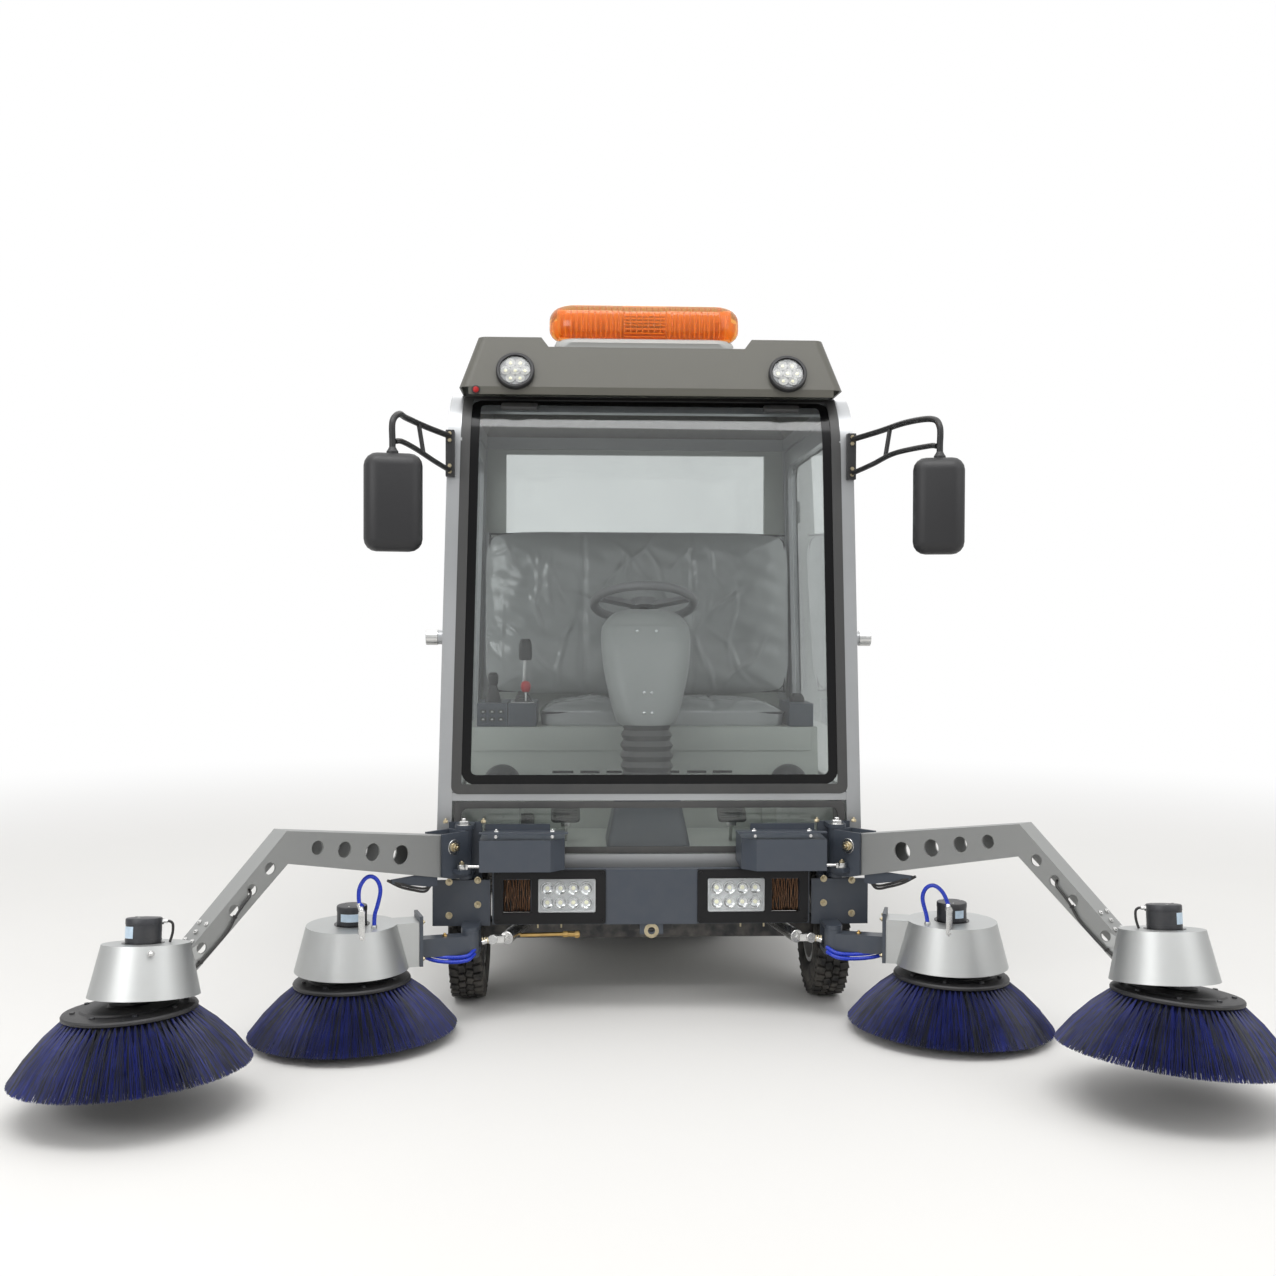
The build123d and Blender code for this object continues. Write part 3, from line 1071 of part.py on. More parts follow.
def build_hopper():
    """Tipping hopper on its rear ears, and the top-hinged rear door."""
    front = CAB_FRONT + HOPPER_BACK
    rear = BODY_REAR - HOPPER_REAR_GAP
    tall = HOPPER_TOP - HOPPER_BOTTOM
    lid_y = rear + HOPPER_DOOR_GAP + HOPPER_DOOR_THICKNESS / 2
    lid_z = HOPPER_TOP + LID_HINGE_RAISE
    ear_y = CAB_FRONT + TIP_AXIS_BACK
    boss_length = CYLINDER_X - CYLINDER_EYE_WIDTH / 2 - EYE_SIDE_GAP - HOPPER_WIDTH / 2
    with BuildPart() as hopper:
        for wall, start, mode in ((0, front, Mode.ADD), (HOPPER_WALL, front + HOPPER_WALL, Mode.SUBTRACT)):
            with BuildSketch(Plane.XZ.offset(-start)) as section:
                with Locations((0, (HOPPER_BOTTOM + HOPPER_TOP) / 2)):
                    Rectangle(HOPPER_WIDTH - 2 * wall, tall - 2 * wall)
                fillet(section.vertices().group_by(Axis.Y)[-1], radius=HOPPER_RADIUS - wall)
            extrude(amount=start - rear, mode=mode)
        with Locations((0, front, HOPPER_BOTTOM + 30 + HOPPER_INLET_TALL / 2)):
            Box(ROLLER_LENGTH, 4 * HOPPER_WALL, HOPPER_INLET_TALL, mode=Mode.SUBTRACT)
        for side in (1, -1):
            ear_place = (side * RAIL_X, ear_y, TIP_AXIS_HEIGHT)
            with Locations(Location(ear_place, (0, 90, 0))):
                Cylinder(TIP_EAR_RADIUS, TIP_EAR_WIDTH)
            with Locations((side * RAIL_X, ear_y, (TIP_AXIS_HEIGHT + HOPPER_BOTTOM) / 2 + 1)):
                Box(TIP_EAR_WIDTH, 2 * TIP_EAR_RADIUS, HOPPER_BOTTOM - TIP_AXIS_HEIGHT + 2)
            with Locations(Location(ear_place, (0, 90, 0))):
                Cylinder(TIP_PIN_RADIUS + PIN_CLEARANCE, TIP_EAR_WIDTH + 2, mode=Mode.SUBTRACT)
            eye_y = CAB_FRONT + CYLINDER_EYE_BACK
            with Locations(Location((side * (HOPPER_WIDTH + boss_length - 2) / 2, eye_y, CYLINDER_EYE_HEIGHT),
                                    (0, 90, 0))):
                Cylinder(EYE_BOSS_RADIUS, boss_length + 2)
            for place in (-1, 1):
                lug_x = side * LID_HINGE_X + place * (LID_LUG_WIDTH + PIN_FACE_GAP)
                with BuildSketch(Plane.YZ.offset(lug_x - LID_LUG_WIDTH / 2)):
                    with Locations((lid_y, lid_z)):
                        Circle(LID_HINGE_RADIUS)
                    with Locations(((lid_y + rear - 40) / 2, lid_z - 4)):
                        Rectangle(lid_y - rear + 40, 20)
                    with Locations((rear - 25, HOPPER_TOP)):
                        Rectangle(50, 6)
                extrude(amount=LID_LUG_WIDTH)
            with Locations(Location((side * LID_HINGE_X, lid_y, lid_z), (0, 90, 0))):
                Cylinder(LID_PIN_RADIUS, 3 * LID_LUG_WIDTH)
    finish(hopper.part, "hopper")

    low = HOPPER_BOTTOM + 4
    high = HOPPER_TOP - 12
    with BuildPart() as hopper_door:
        with Locations((0, lid_y, (low + high) / 2)):
            Box(HOPPER_WIDTH - 8, HOPPER_DOOR_THICKNESS, high - low)
        fillet(hopper_door.edges().filter_by(Axis.Y).group_by(Axis.Z)[-1], radius=HOPPER_RADIUS - 6)
        for side in (1, -1):
            with BuildSketch(Plane.YZ.offset(side * LID_HINGE_X - LID_LUG_WIDTH / 2)):
                with Locations((lid_y, lid_z)):
                    Circle(LID_HINGE_RADIUS)
                with Locations((lid_y, (lid_z + high) / 2 - 1)):
                    Rectangle(2 * LID_HINGE_RADIUS - 4, lid_z - high + 2)
            extrude(amount=LID_LUG_WIDTH)
            with Locations(Location((side * LID_HINGE_X, lid_y, lid_z), (0, 90, 0))):
                Cylinder(LID_PIN_RADIUS + PIN_CLEARANCE, 2 * LID_LUG_WIDTH, mode=Mode.SUBTRACT)
    finish(hopper_door.part, "hopper_door")


def build_cylinders():
    """Tipping cylinders' barrels and rods, one of each outside either side of the hopper."""
    base = Vector(0, CAB_FRONT + OUTRIGGER_BACK, CYLINDER_BASE_HEIGHT)
    eye = Vector(0, CAB_FRONT + CYLINDER_EYE_BACK, CYLINDER_EYE_HEIGHT)
    along = (eye - base).normalized()
    with BuildPart() as hopper_barrels:
        for side in (1, -1):
            foot = base + Vector(side * CYLINDER_X, 0, 0)
            with BuildSketch(Plane(origin=foot + along * BARREL_START, z_dir=along)):
                Circle(CYLINDER_BARREL)
            extrude(amount=CYLINDER_BARREL_LENGTH - BARREL_START)
            with Locations(Location(foot, (0, 90, 0))):
                Cylinder(CYLINDER_EYE, CYLINDER_EYE_WIDTH)
            with Locations(Plane(origin=foot + along * (BARREL_START / 2 + 2), z_dir=along)):
                Box(CYLINDER_EYE_WIDTH, CYLINDER_EYE_WIDTH, BARREL_START)
            with Locations(Location(foot, (0, 90, 0))):
                Cylinder(CYLINDER_PIN + PIN_CLEARANCE, 2 * CYLINDER_EYE_WIDTH, mode=Mode.SUBTRACT)
            with BuildSketch(Plane(origin=foot + along * 50, z_dir=along)):
                Circle(CYLINDER_ROD + PIN_CLEARANCE)
            extrude(amount=CYLINDER_BARREL_LENGTH, mode=Mode.SUBTRACT)
    finish(hopper_barrels.part, "hopper_barrels")

    with BuildPart() as hopper_rods:
        for side in (1, -1):
            head = eye + Vector(side * CYLINDER_X, 0, 0)
            with BuildSketch(Plane(origin=head, z_dir=-along)):
                Circle(CYLINDER_ROD)
            extrude(amount=ROD_ENGAGED)
            with Locations(Location(head, (0, 90, 0))):
                Cylinder(CYLINDER_EYE, CYLINDER_EYE_WIDTH)
            with Locations(Location(head + Vector(side * ROD_HEAD_STAND, 0, 0), (0, 90, 0))):
                Cylinder(CYLINDER_PIN, CYLINDER_EYE_WIDTH)
    finish(hopper_rods.part, "hopper_rods")


def arm_point(side, angle, reach, across=0, height=0):
    """Point at a reach along an outer arm, set to its front by the distance across."""
    plane = arm_plane(OUTER_SWING_X, OUTER_SWING_AHEAD, side, angle)
    return plane.origin + plane.x_dir * reach + plane.z_dir * side * across + Vector(0, 0, height)


def build_brush(name, centre, side, direction, tilt, disc_top, drop):
    """Disc with its bristle skirt, square to a leaning shaft."""
    top = tilted_plane(centre, disc_top, disc_top, side, direction, tilt)
    tip = -DISC_THICKNESS - drop
    with BuildPart() as brush:
        with BuildSketch(Plane(top.origin, x_dir=top.x_dir, z_dir=-top.y_dir)):
            with BuildLine():
                Polyline(
                    (0, 0),
                    (DISC_RADIUS, 0),
                    (DISC_RADIUS, -DISC_THICKNESS),
                    (BRUSH_RADIUS, tip),
                    (BRISTLE_INNER_RADIUS, tip),
                    (BRISTLE_ROOT_RADIUS, -DISC_THICKNESS),
                    (0, -DISC_THICKNESS),
                    close=True,
                )
            make_face()
        revolve(axis=Axis(top.origin, top.z_dir))
        with BuildSketch(top):
            Circle(SHAFT_RADIUS)
        extrude(amount=SHAFT_LENGTH)
    finish(brush.part, name)


def raised(points, rise):
    """Outline or hole table of an arm, drawn out to its reach and lifted to a rise over the brush."""
    stretch = (OUTER_ARM_REACH - OUTER_LIFT_REACH) / (ARM_DRAWN_REACH - OUTER_LIFT_REACH)
    slope = rise / (ARM_DRAWN_REACH - OUTER_LIFT_REACH)
    placed = []
    for reach, height, *rest in points:
        beyond = reach - OUTER_LIFT_REACH
        along = beyond * stretch if beyond > 0 else beyond
        placed.append((OUTER_LIFT_REACH + along, height + slope * beyond, *rest))
    return placed


def build_outer(name, side, angle):
    """Swing bracket, lifting arm with its cover, motor, brush and rod of one outer arm."""
    rise = OUTER_RISE[name]
    tilt = OUTER_TILT[name]
    disc_top = OUTER_DISC_TOP + rise
    cover_middle = OUTER_COVER_MIDDLE + rise
    cover_top = OUTER_COVER_TOP + rise
    cover_bottom = OUTER_COVER_BOTTOM + rise
    plane = arm_plane(OUTER_SWING_X, OUTER_SWING_AHEAD, side, angle)
    lift = (OUTER_LIFT_REACH, LIFT_AXIS_HEIGHT)
    swing = Vector(side * OUTER_SWING_X, CAB_FRONT - OUTER_SWING_AHEAD, 0)
    level = Plane(origin=swing, x_dir=plane.x_dir, z_dir=(0, 0, 1))
    lug_reach = (ROD_AHEAD - OUTER_SWING_AHEAD) * sin(radians(angle))
    lug_across = (ROD_AHEAD - OUTER_SWING_AHEAD) * cos(radians(angle))
    lug_top = ROD_HEIGHT - ROD_EYE_TALL / 2 - PIN_FACE_GAP
    web_start = CHEEK_OUTLINE[0][0]
    cheek_low = CHEEK_OUTLINE[0][1]
    cheek_high = CHEEK_OUTLINE[-1][1]
    with BuildPart() as bracket:
        with Locations(swing + Vector(0, 0, (SWING_BOTTOM + SWING_TOP) / 2)):
            Cylinder(SWING_BOSS, SWING_TOP - SWING_BOTTOM - 2 * PIN_FACE_GAP)
        for place in (-1, 1):
            with BuildSketch(plane.offset(place * CHEEK_INNER)):
                with BuildLine():
                    Polyline(*CHEEK_OUTLINE, close=True)
                make_face()
            extrude(amount=place * CHEEK_THICKNESS)
        with BuildSketch(plane):
            with Locations((web_start + CHEEK_WEB / 2, (cheek_low + cheek_high) / 2)):
                Rectangle(CHEEK_WEB, cheek_high - cheek_low)
        extrude(amount=CHEEK_INNER + CHEEK_THICKNESS, both=True)
        with BuildSketch(plane):
            with Locations(lift):
                Circle(LIFT_PIN)
        extrude(amount=CHEEK_INNER + CHEEK_THICKNESS + 6, both=True)
        with BuildSketch(level.offset(lug_top - ROD_LUG_THICKNESS)):
            with Locations((lug_reach, -side * (CHEEK_INNER + 2 + lug_across + ROD_LUG_HALF - 2) / 2)):
                Rectangle(2 * ROD_LUG_HALF, lug_across + ROD_LUG_HALF - CHEEK_INNER - 4)
        extrude(amount=ROD_LUG_THICKNESS)
        slot_y = CAB_FRONT - ROD_AHEAD + ROD_PIN + 1.5 - ROD_SLOT_LENGTH / 2
        with Locations((side * OUTER_SWING_X, slot_y, lug_top)):
            Box(2 * ROD_SLOT_HALF, ROD_SLOT_LENGTH, 3 * ROD_LUG_THICKNESS, mode=Mode.SUBTRACT)
        with Locations(swing + Vector(0, 0, (SWING_BOTTOM + SWING_TOP) / 2)):
            Cylinder(SWING_PIN + PIN_CLEARANCE, SWING_TOP - SWING_BOTTOM, mode=Mode.SUBTRACT)
    finish(bracket.part, f"outer_bracket_{name}")

    centre = arm_point(side, angle, OUTER_ARM_REACH)
    cover_centre = centre - Vector(side * COVER_INWARD, 0, 0)
    disc = tilted_plane(centre, disc_top, disc_top, side, angle, tilt)
    with BuildPart() as hub:
        for height, radius in (
            (cover_bottom, OUTER_COVER_BOTTOM_RADIUS),
            (cover_top - 1, OUTER_COVER_TOP_RADIUS),
        ):
            with BuildSketch(tilted_plane(cover_centre, cover_middle, height, side, 0, COVER_LEAN)):
                Circle(radius)
        loft()
        with BuildSketch(disc):
            Circle(SHAFT_HUB)
        extrude(amount=cover_top, mode=Mode.INTERSECT)
    with BuildPart() as arm:
        with BuildSketch(plane):
            with BuildLine():
                Polyline(*raised(ARM_OUTLINE, rise), close=True)
            make_face()
            for reach, height, diameter in raised(ARM_HOLES, rise):
                with Locations((reach, height)):
                    Circle(diameter / 2, mode=Mode.SUBTRACT)
        extrude(amount=ARM_DEPTH / 2, both=True)
        with BuildSketch(plane):
            with BuildLine():
                Polyline(*raised(ARM_CAVITY, rise), close=True)
            make_face()
        extrude(amount=ARM_DEPTH / 2 - ARM_WALL, both=True, mode=Mode.SUBTRACT)
        with BuildSketch(plane):
            with Locations(lift):
                Circle(LIFT_PIN + 7)
        extrude(amount=ARM_DEPTH / 2, both=True)
        for wall, drop, mode in ((0, 0, Mode.ADD), (COVER_WALL, 1, Mode.SUBTRACT)):
            for height, radius in (
                (cover_bottom - drop, OUTER_COVER_BOTTOM_RADIUS - wall),
                (cover_top - wall, OUTER_COVER_TOP_RADIUS - wall),
            ):
                with BuildSketch(
                    tilted_plane(cover_centre, cover_middle, height, side, 0, COVER_LEAN)
                ):
                    Circle(radius)
            loft(mode=mode)
        add(hub.part)
        with BuildSketch(disc):
            Circle(SHAFT_RADIUS + PIN_CLEARANCE)
        extrude(amount=SHAFT_LENGTH + 2, mode=Mode.SUBTRACT)
        with BuildSketch(plane):
            with Locations(lift):
                Circle(LIFT_PIN + PIN_CLEARANCE)
        extrude(amount=ARM_DEPTH, both=True, mode=Mode.SUBTRACT)
    finish(arm.part, f"outer_arm_{name}")

    seat = tilted_plane(cover_centre, cover_middle, cover_top + SEAT_GAP, side, 0, COVER_LEAN)
    with BuildPart() as motor:
        with BuildSketch(seat):
            with Locations((-side * MOTOR_OUTWARD, 0)):
                Circle(MOTOR_RADIUS)
        extrude(amount=OUTER_MOTOR_TALL)
    finish(motor.part, f"outer_motor_{name}")

    build_brush(f"outer_brush_{name}", centre, side, angle, tilt, disc_top, OUTER_BRISTLE_DROP)

    with BuildPart() as rod:
        eye = (side * OUTER_SWING_X, CAB_FRONT - ROD_AHEAD, ROD_HEIGHT)
        with Locations(eye):
            Cylinder(ROD_EYE, ROD_EYE_TALL)
        with Locations(Location((eye[0] - side * ROD_LENGTH / 2, eye[1], eye[2]), (0, 90, 0))):
            Cylinder(ROD_RADIUS, ROD_LENGTH)
        with Locations(Vector(*eye) - Vector(0, 0, ROD_LUG_THICKNESS / 2)):
            Cylinder(ROD_PIN, ROD_EYE_TALL + ROD_LUG_THICKNESS + 5)
    finish(rod.part, f"outer_rod_{name}")


def build_inner(name, side):
    """Arm, cover, motor and brush of one inner side brush."""
    plane = arm_plane(INNER_SWING_X, INNER_SWING_AHEAD, side, INNER_ARM_ANGLE)
    level = Plane(origin=plane.origin, x_dir=plane.x_dir, z_dir=(0, 0, 1))
    centre = plane.origin + plane.x_dir * INNER_ARM_REACH
    boss_low = INNER_EAR_BOTTOM + INNER_EAR_PLATE + PIN_FACE_GAP
    boss_high = INNER_EAR_TOP - PIN_FACE_GAP
    with BuildPart() as arm:
        with BuildSketch(level.offset(boss_low)):
            Circle(INNER_EAR)
        extrude(amount=boss_high - boss_low)
        with BuildSketch(level.offset(INNER_BEAM_BOTTOM)):
            with Locations((INNER_PLATE_REACH / 2, 0)):
                Rectangle(INNER_PLATE_REACH, INNER_BEAM_WIDTH)
        extrude(amount=INNER_BEAM_TOP - INNER_BEAM_BOTTOM)
        with BuildSketch(level.offset(INNER_PLATE_BOTTOM)):
            with Locations((INNER_PLATE_REACH, 0)):
                Rectangle(INNER_PLATE_THICKNESS, INNER_PLATE_WIDTH)
        extrude(amount=INNER_PLATE_TOP - INNER_PLATE_BOTTOM)
        with BuildSketch(level.offset(boss_low - 1)):
            Circle(INNER_PIN + PIN_CLEARANCE)
        extrude(amount=boss_high - boss_low + 2, mode=Mode.SUBTRACT)
    finish(arm.part, f"inner_arm_{name}")

    disc = tilted_plane(centre, INNER_DISC_TOP, INNER_DISC_TOP, side, INNER_TILT_DIRECTION, INNER_TILT)
    with BuildPart() as hub:
        with Locations((centre.X, centre.Y, (INNER_COVER_BOTTOM + INNER_COVER_TOP - 1) / 2)):
            Cylinder(INNER_COVER_TOP_RADIUS, INNER_COVER_TOP - 1 - INNER_COVER_BOTTOM)
        with BuildSketch(disc):
            Circle(SHAFT_HUB)
        extrude(amount=INNER_COVER_TOP, mode=Mode.INTERSECT)
    box_start = INNER_PLATE_REACH + INNER_PLATE_THICKNESS / 2 + SEAT_GAP
    box_length = INNER_ARM_REACH - INNER_COVER_TOP_RADIUS + 20 - box_start
    with BuildPart() as cover:
        with BuildSketch(level.offset(INNER_COVER_BOTTOM)):
            with Locations((box_start + box_length / 2, 0)):
                Rectangle(box_length, INNER_BOX_WIDTH)
        extrude(amount=INNER_COVER_TOP - INNER_COVER_BOTTOM)
        for wall, drop, mode in ((0, 0, Mode.ADD), (COVER_WALL, 1, Mode.SUBTRACT)):
            for height, radius in (
                (INNER_COVER_BOTTOM - drop, INNER_COVER_BOTTOM_RADIUS - wall),
                (INNER_COVER_TOP - wall, INNER_COVER_TOP_RADIUS - wall),
            ):
                with BuildSketch(Plane.XY.offset(height)):
                    with Locations((centre.X, centre.Y)):
                        Circle(radius)
            loft(mode=mode)
        add(hub.part)
        with BuildSketch(disc):
            Circle(SHAFT_RADIUS + PIN_CLEARANCE)
        extrude(amount=SHAFT_LENGTH + 2, mode=Mode.SUBTRACT)
    finish(cover.part, f"inner_cover_{name}")

    with BuildPart() as motor:
        with Locations(centre + Vector(0, 0, INNER_COVER_TOP + SEAT_GAP + INNER_MOTOR_TALL / 2)):
            Cylinder(MOTOR_RADIUS, INNER_MOTOR_TALL)
    finish(motor.part, f"inner_motor_{name}")

    build_brush(f"inner_brush_{name}", centre, side, INNER_TILT_DIRECTION, INNER_TILT, INNER_DISC_TOP,
                INNER_BRISTLE_DROP)


build_chassis()
build_axles()
build_knuckles()
build_wheels()
build_roller()
build_cab_frame()
build_cab_tub()
build_cab_glass()
build_roof()
build_cab_inside()
build_doors()
build_front()
build_arm_mounts()
build_mirrors()
build_mid_body()
build_hopper()
build_cylinders()
for label, sign, arm_angle in SIDES:
    build_outer(label, sign, arm_angle)
    build_inner(label, sign)
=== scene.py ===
"""Dresses the compact road sweeper: finishes for the carried-over solids and detailed pieces on them."""

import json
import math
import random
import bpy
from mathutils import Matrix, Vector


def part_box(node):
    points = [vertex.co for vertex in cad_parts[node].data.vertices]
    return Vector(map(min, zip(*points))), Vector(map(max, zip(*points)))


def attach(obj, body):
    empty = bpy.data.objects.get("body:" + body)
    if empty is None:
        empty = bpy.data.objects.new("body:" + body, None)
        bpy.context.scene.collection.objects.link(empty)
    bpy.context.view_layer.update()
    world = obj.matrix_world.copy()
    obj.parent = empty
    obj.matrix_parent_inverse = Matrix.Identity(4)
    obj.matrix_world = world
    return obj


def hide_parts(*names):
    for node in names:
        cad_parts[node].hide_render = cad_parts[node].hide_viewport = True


bl_info = {
    "name": "Compact Road Sweeper",
    "version": (1, 0, 0),
    "blender": (4, 5, 0),
    "location": "3D View > Sidebar > Sweeper",
    "description": "Finishes and detail pieces of a compact road sweeper with four side brushes",
    "category": "Object",
}

from functools import partial

import bmesh
import bpy
import numpy as np
from mathutils import Matrix, Vector

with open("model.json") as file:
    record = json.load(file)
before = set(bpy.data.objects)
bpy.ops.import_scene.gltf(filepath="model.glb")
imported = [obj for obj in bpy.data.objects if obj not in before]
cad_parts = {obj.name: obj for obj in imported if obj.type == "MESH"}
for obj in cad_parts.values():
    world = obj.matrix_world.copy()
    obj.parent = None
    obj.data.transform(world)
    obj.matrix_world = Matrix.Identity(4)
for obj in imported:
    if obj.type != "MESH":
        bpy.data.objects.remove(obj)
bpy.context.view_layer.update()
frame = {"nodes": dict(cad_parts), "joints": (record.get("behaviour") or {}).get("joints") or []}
JOINTS = {joint["name"]: joint for joint in frame["joints"]}
SIDES = (("left", 1), ("right", -1))

# The front of the cab is the station from which the camera and most pieces are placed
CAB_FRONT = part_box("windscreen")[0].y - 0.004
UP, LEFT = Vector((0, 0, 1)), (1, 0, 0)
FRONT, REAR = (0, -1, 0), (0, 1, 0)

# The cab's sides lean inwards from its sill
SIDE_LEAN = 0.0261
SILL_HEIGHT = 0.432

# Softened edges of the solids, and how far an outer cover reaches from its motor's axis
SOFT_EDGE = 0.0016
SOFT_EDGE_ANGLE = math.radians(50)
COVER_REACH = 0.155

# Edges of the detail pieces: the angle above which they are sharp, their bevel's roundness, and a rod's chamfer
SHARP_ANGLE = 0.6
BEVEL_PROFILE = 0.7
ROD_CHAMFER = 0.0008


# Finishes

def add_node(tree, kind, inputs=(), **attributes):
    """A node with its attributes set, and each named input linked to a socket or given a value."""
    node = tree.nodes.new(kind)
    for key, value in attributes.items():
        setattr(node, key, value)
    for key, source in dict(inputs).items():
        if isinstance(source, bpy.types.NodeSocket):
            tree.links.new(source, node.inputs[key])
        else:
            node.inputs[key].default_value = source
    return node


def worked_out(tree, operation, first, second, third=0.5):
    """Result of a sum on numbers or sockets."""
    return add_node(tree, "ShaderNodeMath", {0: first, 1: second, 2: third}, operation=operation).outputs[0]


def ranged(tree, value, low, high, to_low=0.0, to_high=1.0, **attributes):
    """A value carried from one range to another."""
    return add_node(tree, "ShaderNodeMapRange", {"Value": value, "From Min": low, "From Max": high,
                                                 "To Min": to_low, "To Max": to_high}, **attributes).outputs["Result"]


def build_tone(group, given, out):
    """Slow patches that lighten and darken a colour."""
    place = add_node(group, "ShaderNodeTexCoord")
    noise = add_node(group, "ShaderNodeTexNoise", {"Vector": place.outputs["Object"], "Scale": given["Scale"],
                                                   "Detail": 5.0, "Roughness": 0.6}).outputs["Fac"]
    low = worked_out(group, "SUBTRACT", 1.0, given["Amount"])
    high = worked_out(group, "ADD", 1.0, given["Amount"])
    scaled = add_node(group, "ShaderNodeVectorMath",
                      {0: given["Colour"], "Scale": ranged(group, noise, 0.3, 0.7, low, high)}, operation="SCALE")
    group.links.new(scaled.outputs[0], out["Colour"])
    group.links.new(noise, out["Mask"])


def build_grain(group, given, out):
    """Fine grain, stretched along one axis when asked, for roughness and bump."""
    place = add_node(group, "ShaderNodeTexCoord")
    stretch = add_node(group, "ShaderNodeVectorMath", {0: place.outputs["Object"], 1: given["Stretch"]},
                       operation="MULTIPLY")
    noise = add_node(group, "ShaderNodeTexNoise", {"Vector": stretch.outputs[0], "Scale": given["Scale"],
                                                   "Detail": 3.0, "Roughness": 0.55}).outputs["Fac"]
    group.links.new(noise, out["Height"])
    group.links.new(worked_out(group, "MULTIPLY_ADD", noise, given["Spread"], given["Roughness"]), out["Roughness"])


def build_dust(group, given, out):
    """Pale dust that gathers low on the machine and on faces that look up."""
    place = add_node(group, "ShaderNodeTexCoord")
    facing = add_node(group, "ShaderNodeNewGeometry")
    split = add_node(group, "ShaderNodeSeparateXYZ", {0: facing.outputs["Normal"]})
    height = add_node(group, "ShaderNodeSeparateXYZ", {0: place.outputs["Object"]})
    upward = ranged(group, split.outputs["Z"], 0.2, 1.0)
    low = ranged(group, height.outputs["Z"], 0.9, 0.0)
    noise = add_node(group, "ShaderNodeTexNoise", {"Vector": place.outputs["Object"], "Scale": 26.0, "Detail": 8.0})
    patchy = ranged(group, noise.outputs["Fac"], 0.35, 0.75)
    mask = worked_out(group, "MULTIPLY", worked_out(group, "MAXIMUM", upward, low), patchy)
    amount = worked_out(group, "MULTIPLY", mask, given["Amount"])
    mix = add_node(group, "ShaderNodeMix", {0: amount, 6: given["Colour"], 7: (0.36, 0.33, 0.28, 1)},
                   data_type="RGBA")
    group.links.new(mix.outputs[2], out["Colour"])
    group.links.new(amount, out["Mask"])


# Builder, inputs and outputs of each shared shader group
GROUPS = {
    "Patchy tone": (build_tone, (("Colour", "Color"), ("Scale", "Float"), ("Amount", "Float")),
                    (("Colour", "Color"), ("Mask", "Float"))),
    "Settled dust": (build_dust, (("Colour", "Color"), ("Amount", "Float")), (("Colour", "Color"), ("Mask", "Float"))),
    "Fine grain": (build_grain, (("Scale", "Float"), ("Stretch", "Vector"), ("Roughness", "Float"),
                                 ("Spread", "Float")), (("Height", "Float"), ("Roughness", "Float"))),
}


def group_node(tree, name, inputs):
    """A node of a shared shader group; the group itself is built once."""
    group = bpy.data.node_groups.get(name)
    if not group:
        build, given, made = GROUPS[name]
        group = bpy.data.node_groups.new(name, "ShaderNodeTree")
        for way, sockets in (("INPUT", given), ("OUTPUT", made)):
            for label, kind in sockets:
                group.interface.new_socket(label, in_out=way, socket_type=f"NodeSocket{kind}")
        source = group.nodes.new("NodeGroupInput")
        target = group.nodes.new("NodeGroupOutput")
        build(group, source.outputs, target.inputs)
    return add_node(tree, "ShaderNodeGroup", inputs, node_tree=group)


def finish(name, colour, roughness, metallic=0.0, grain=(240.0, 0.1), tone=(3.0, 0.06), dust=0.15, spread=0.12,
           stretch=(1.0, 1.0, 1.0), **constants):
    """A Principled material with tone, grain and dust from the shared groups."""
    material = bpy.data.materials.get(name)
    if material:
        return material
    material = bpy.data.materials.new(name)
    material.use_nodes = True
    tree = material.node_tree
    shader = tree.nodes["Principled BSDF"]
    shader.inputs["Metallic"].default_value = metallic
    for key, value in constants.items():
        shader.inputs[key.replace("_", " ").title().replace("Ior", "IOR")].default_value = value
    toned = group_node(tree, "Patchy tone", {"Colour": (*colour, 1), "Scale": tone[0], "Amount": tone[1]})
    dusty = group_node(tree, "Settled dust", {"Colour": toned.outputs["Colour"], "Amount": dust})
    grained = group_node(tree, "Fine grain", {"Scale": grain[0], "Stretch": stretch,
                                              "Roughness": roughness - spread / 2, "Spread": spread})
    bump = add_node(tree, "ShaderNodeBump", {"Height": grained.outputs["Height"], "Distance": 0.0006,
                                             "Strength": grain[1]})
    for key, source in (("Base Color", dusty.outputs["Colour"]), ("Roughness", grained.outputs["Roughness"]),
                        ("Normal", bump.outputs["Normal"])):
        tree.links.new(source, shader.inputs[key])
    return material


def glass_finish(name, colour, veil, roughness=0.02, shine=0.3):
    """Clear pane that lets lamps through, with a thin veil of the colour."""
    made = name in bpy.data.materials
    material = finish(name, colour, roughness, grain=(14.0, 0.004), tone=(1.4, 0.05), dust=0.0, spread=0.015,
                      transmission_weight=1.0 - veil, ior=1.45, specular_ior_level=shine)
    if made:
        return material
    tree = material.node_tree
    path = add_node(tree, "ShaderNodeLightPath")
    clear = add_node(tree, "ShaderNodeBsdfTransparent", {"Color": (0.85, 0.87, 0.86, 1)})
    mix = add_node(tree, "ShaderNodeMixShader", {0: path.outputs["Is Shadow Ray"], 2: clear.outputs[0],
                                                 1: tree.nodes["Principled BSDF"].outputs[0]})
    tree.links.new(mix.outputs[0], tree.nodes["Material Output"].inputs["Surface"])
    return material


def glow_finish(name, colour, strength, roughness):
    """Lamp surface with a faint light of its own."""
    return finish(name, colour, roughness, dust=0.02, emission_color=(*colour, 1), emission_strength=strength)


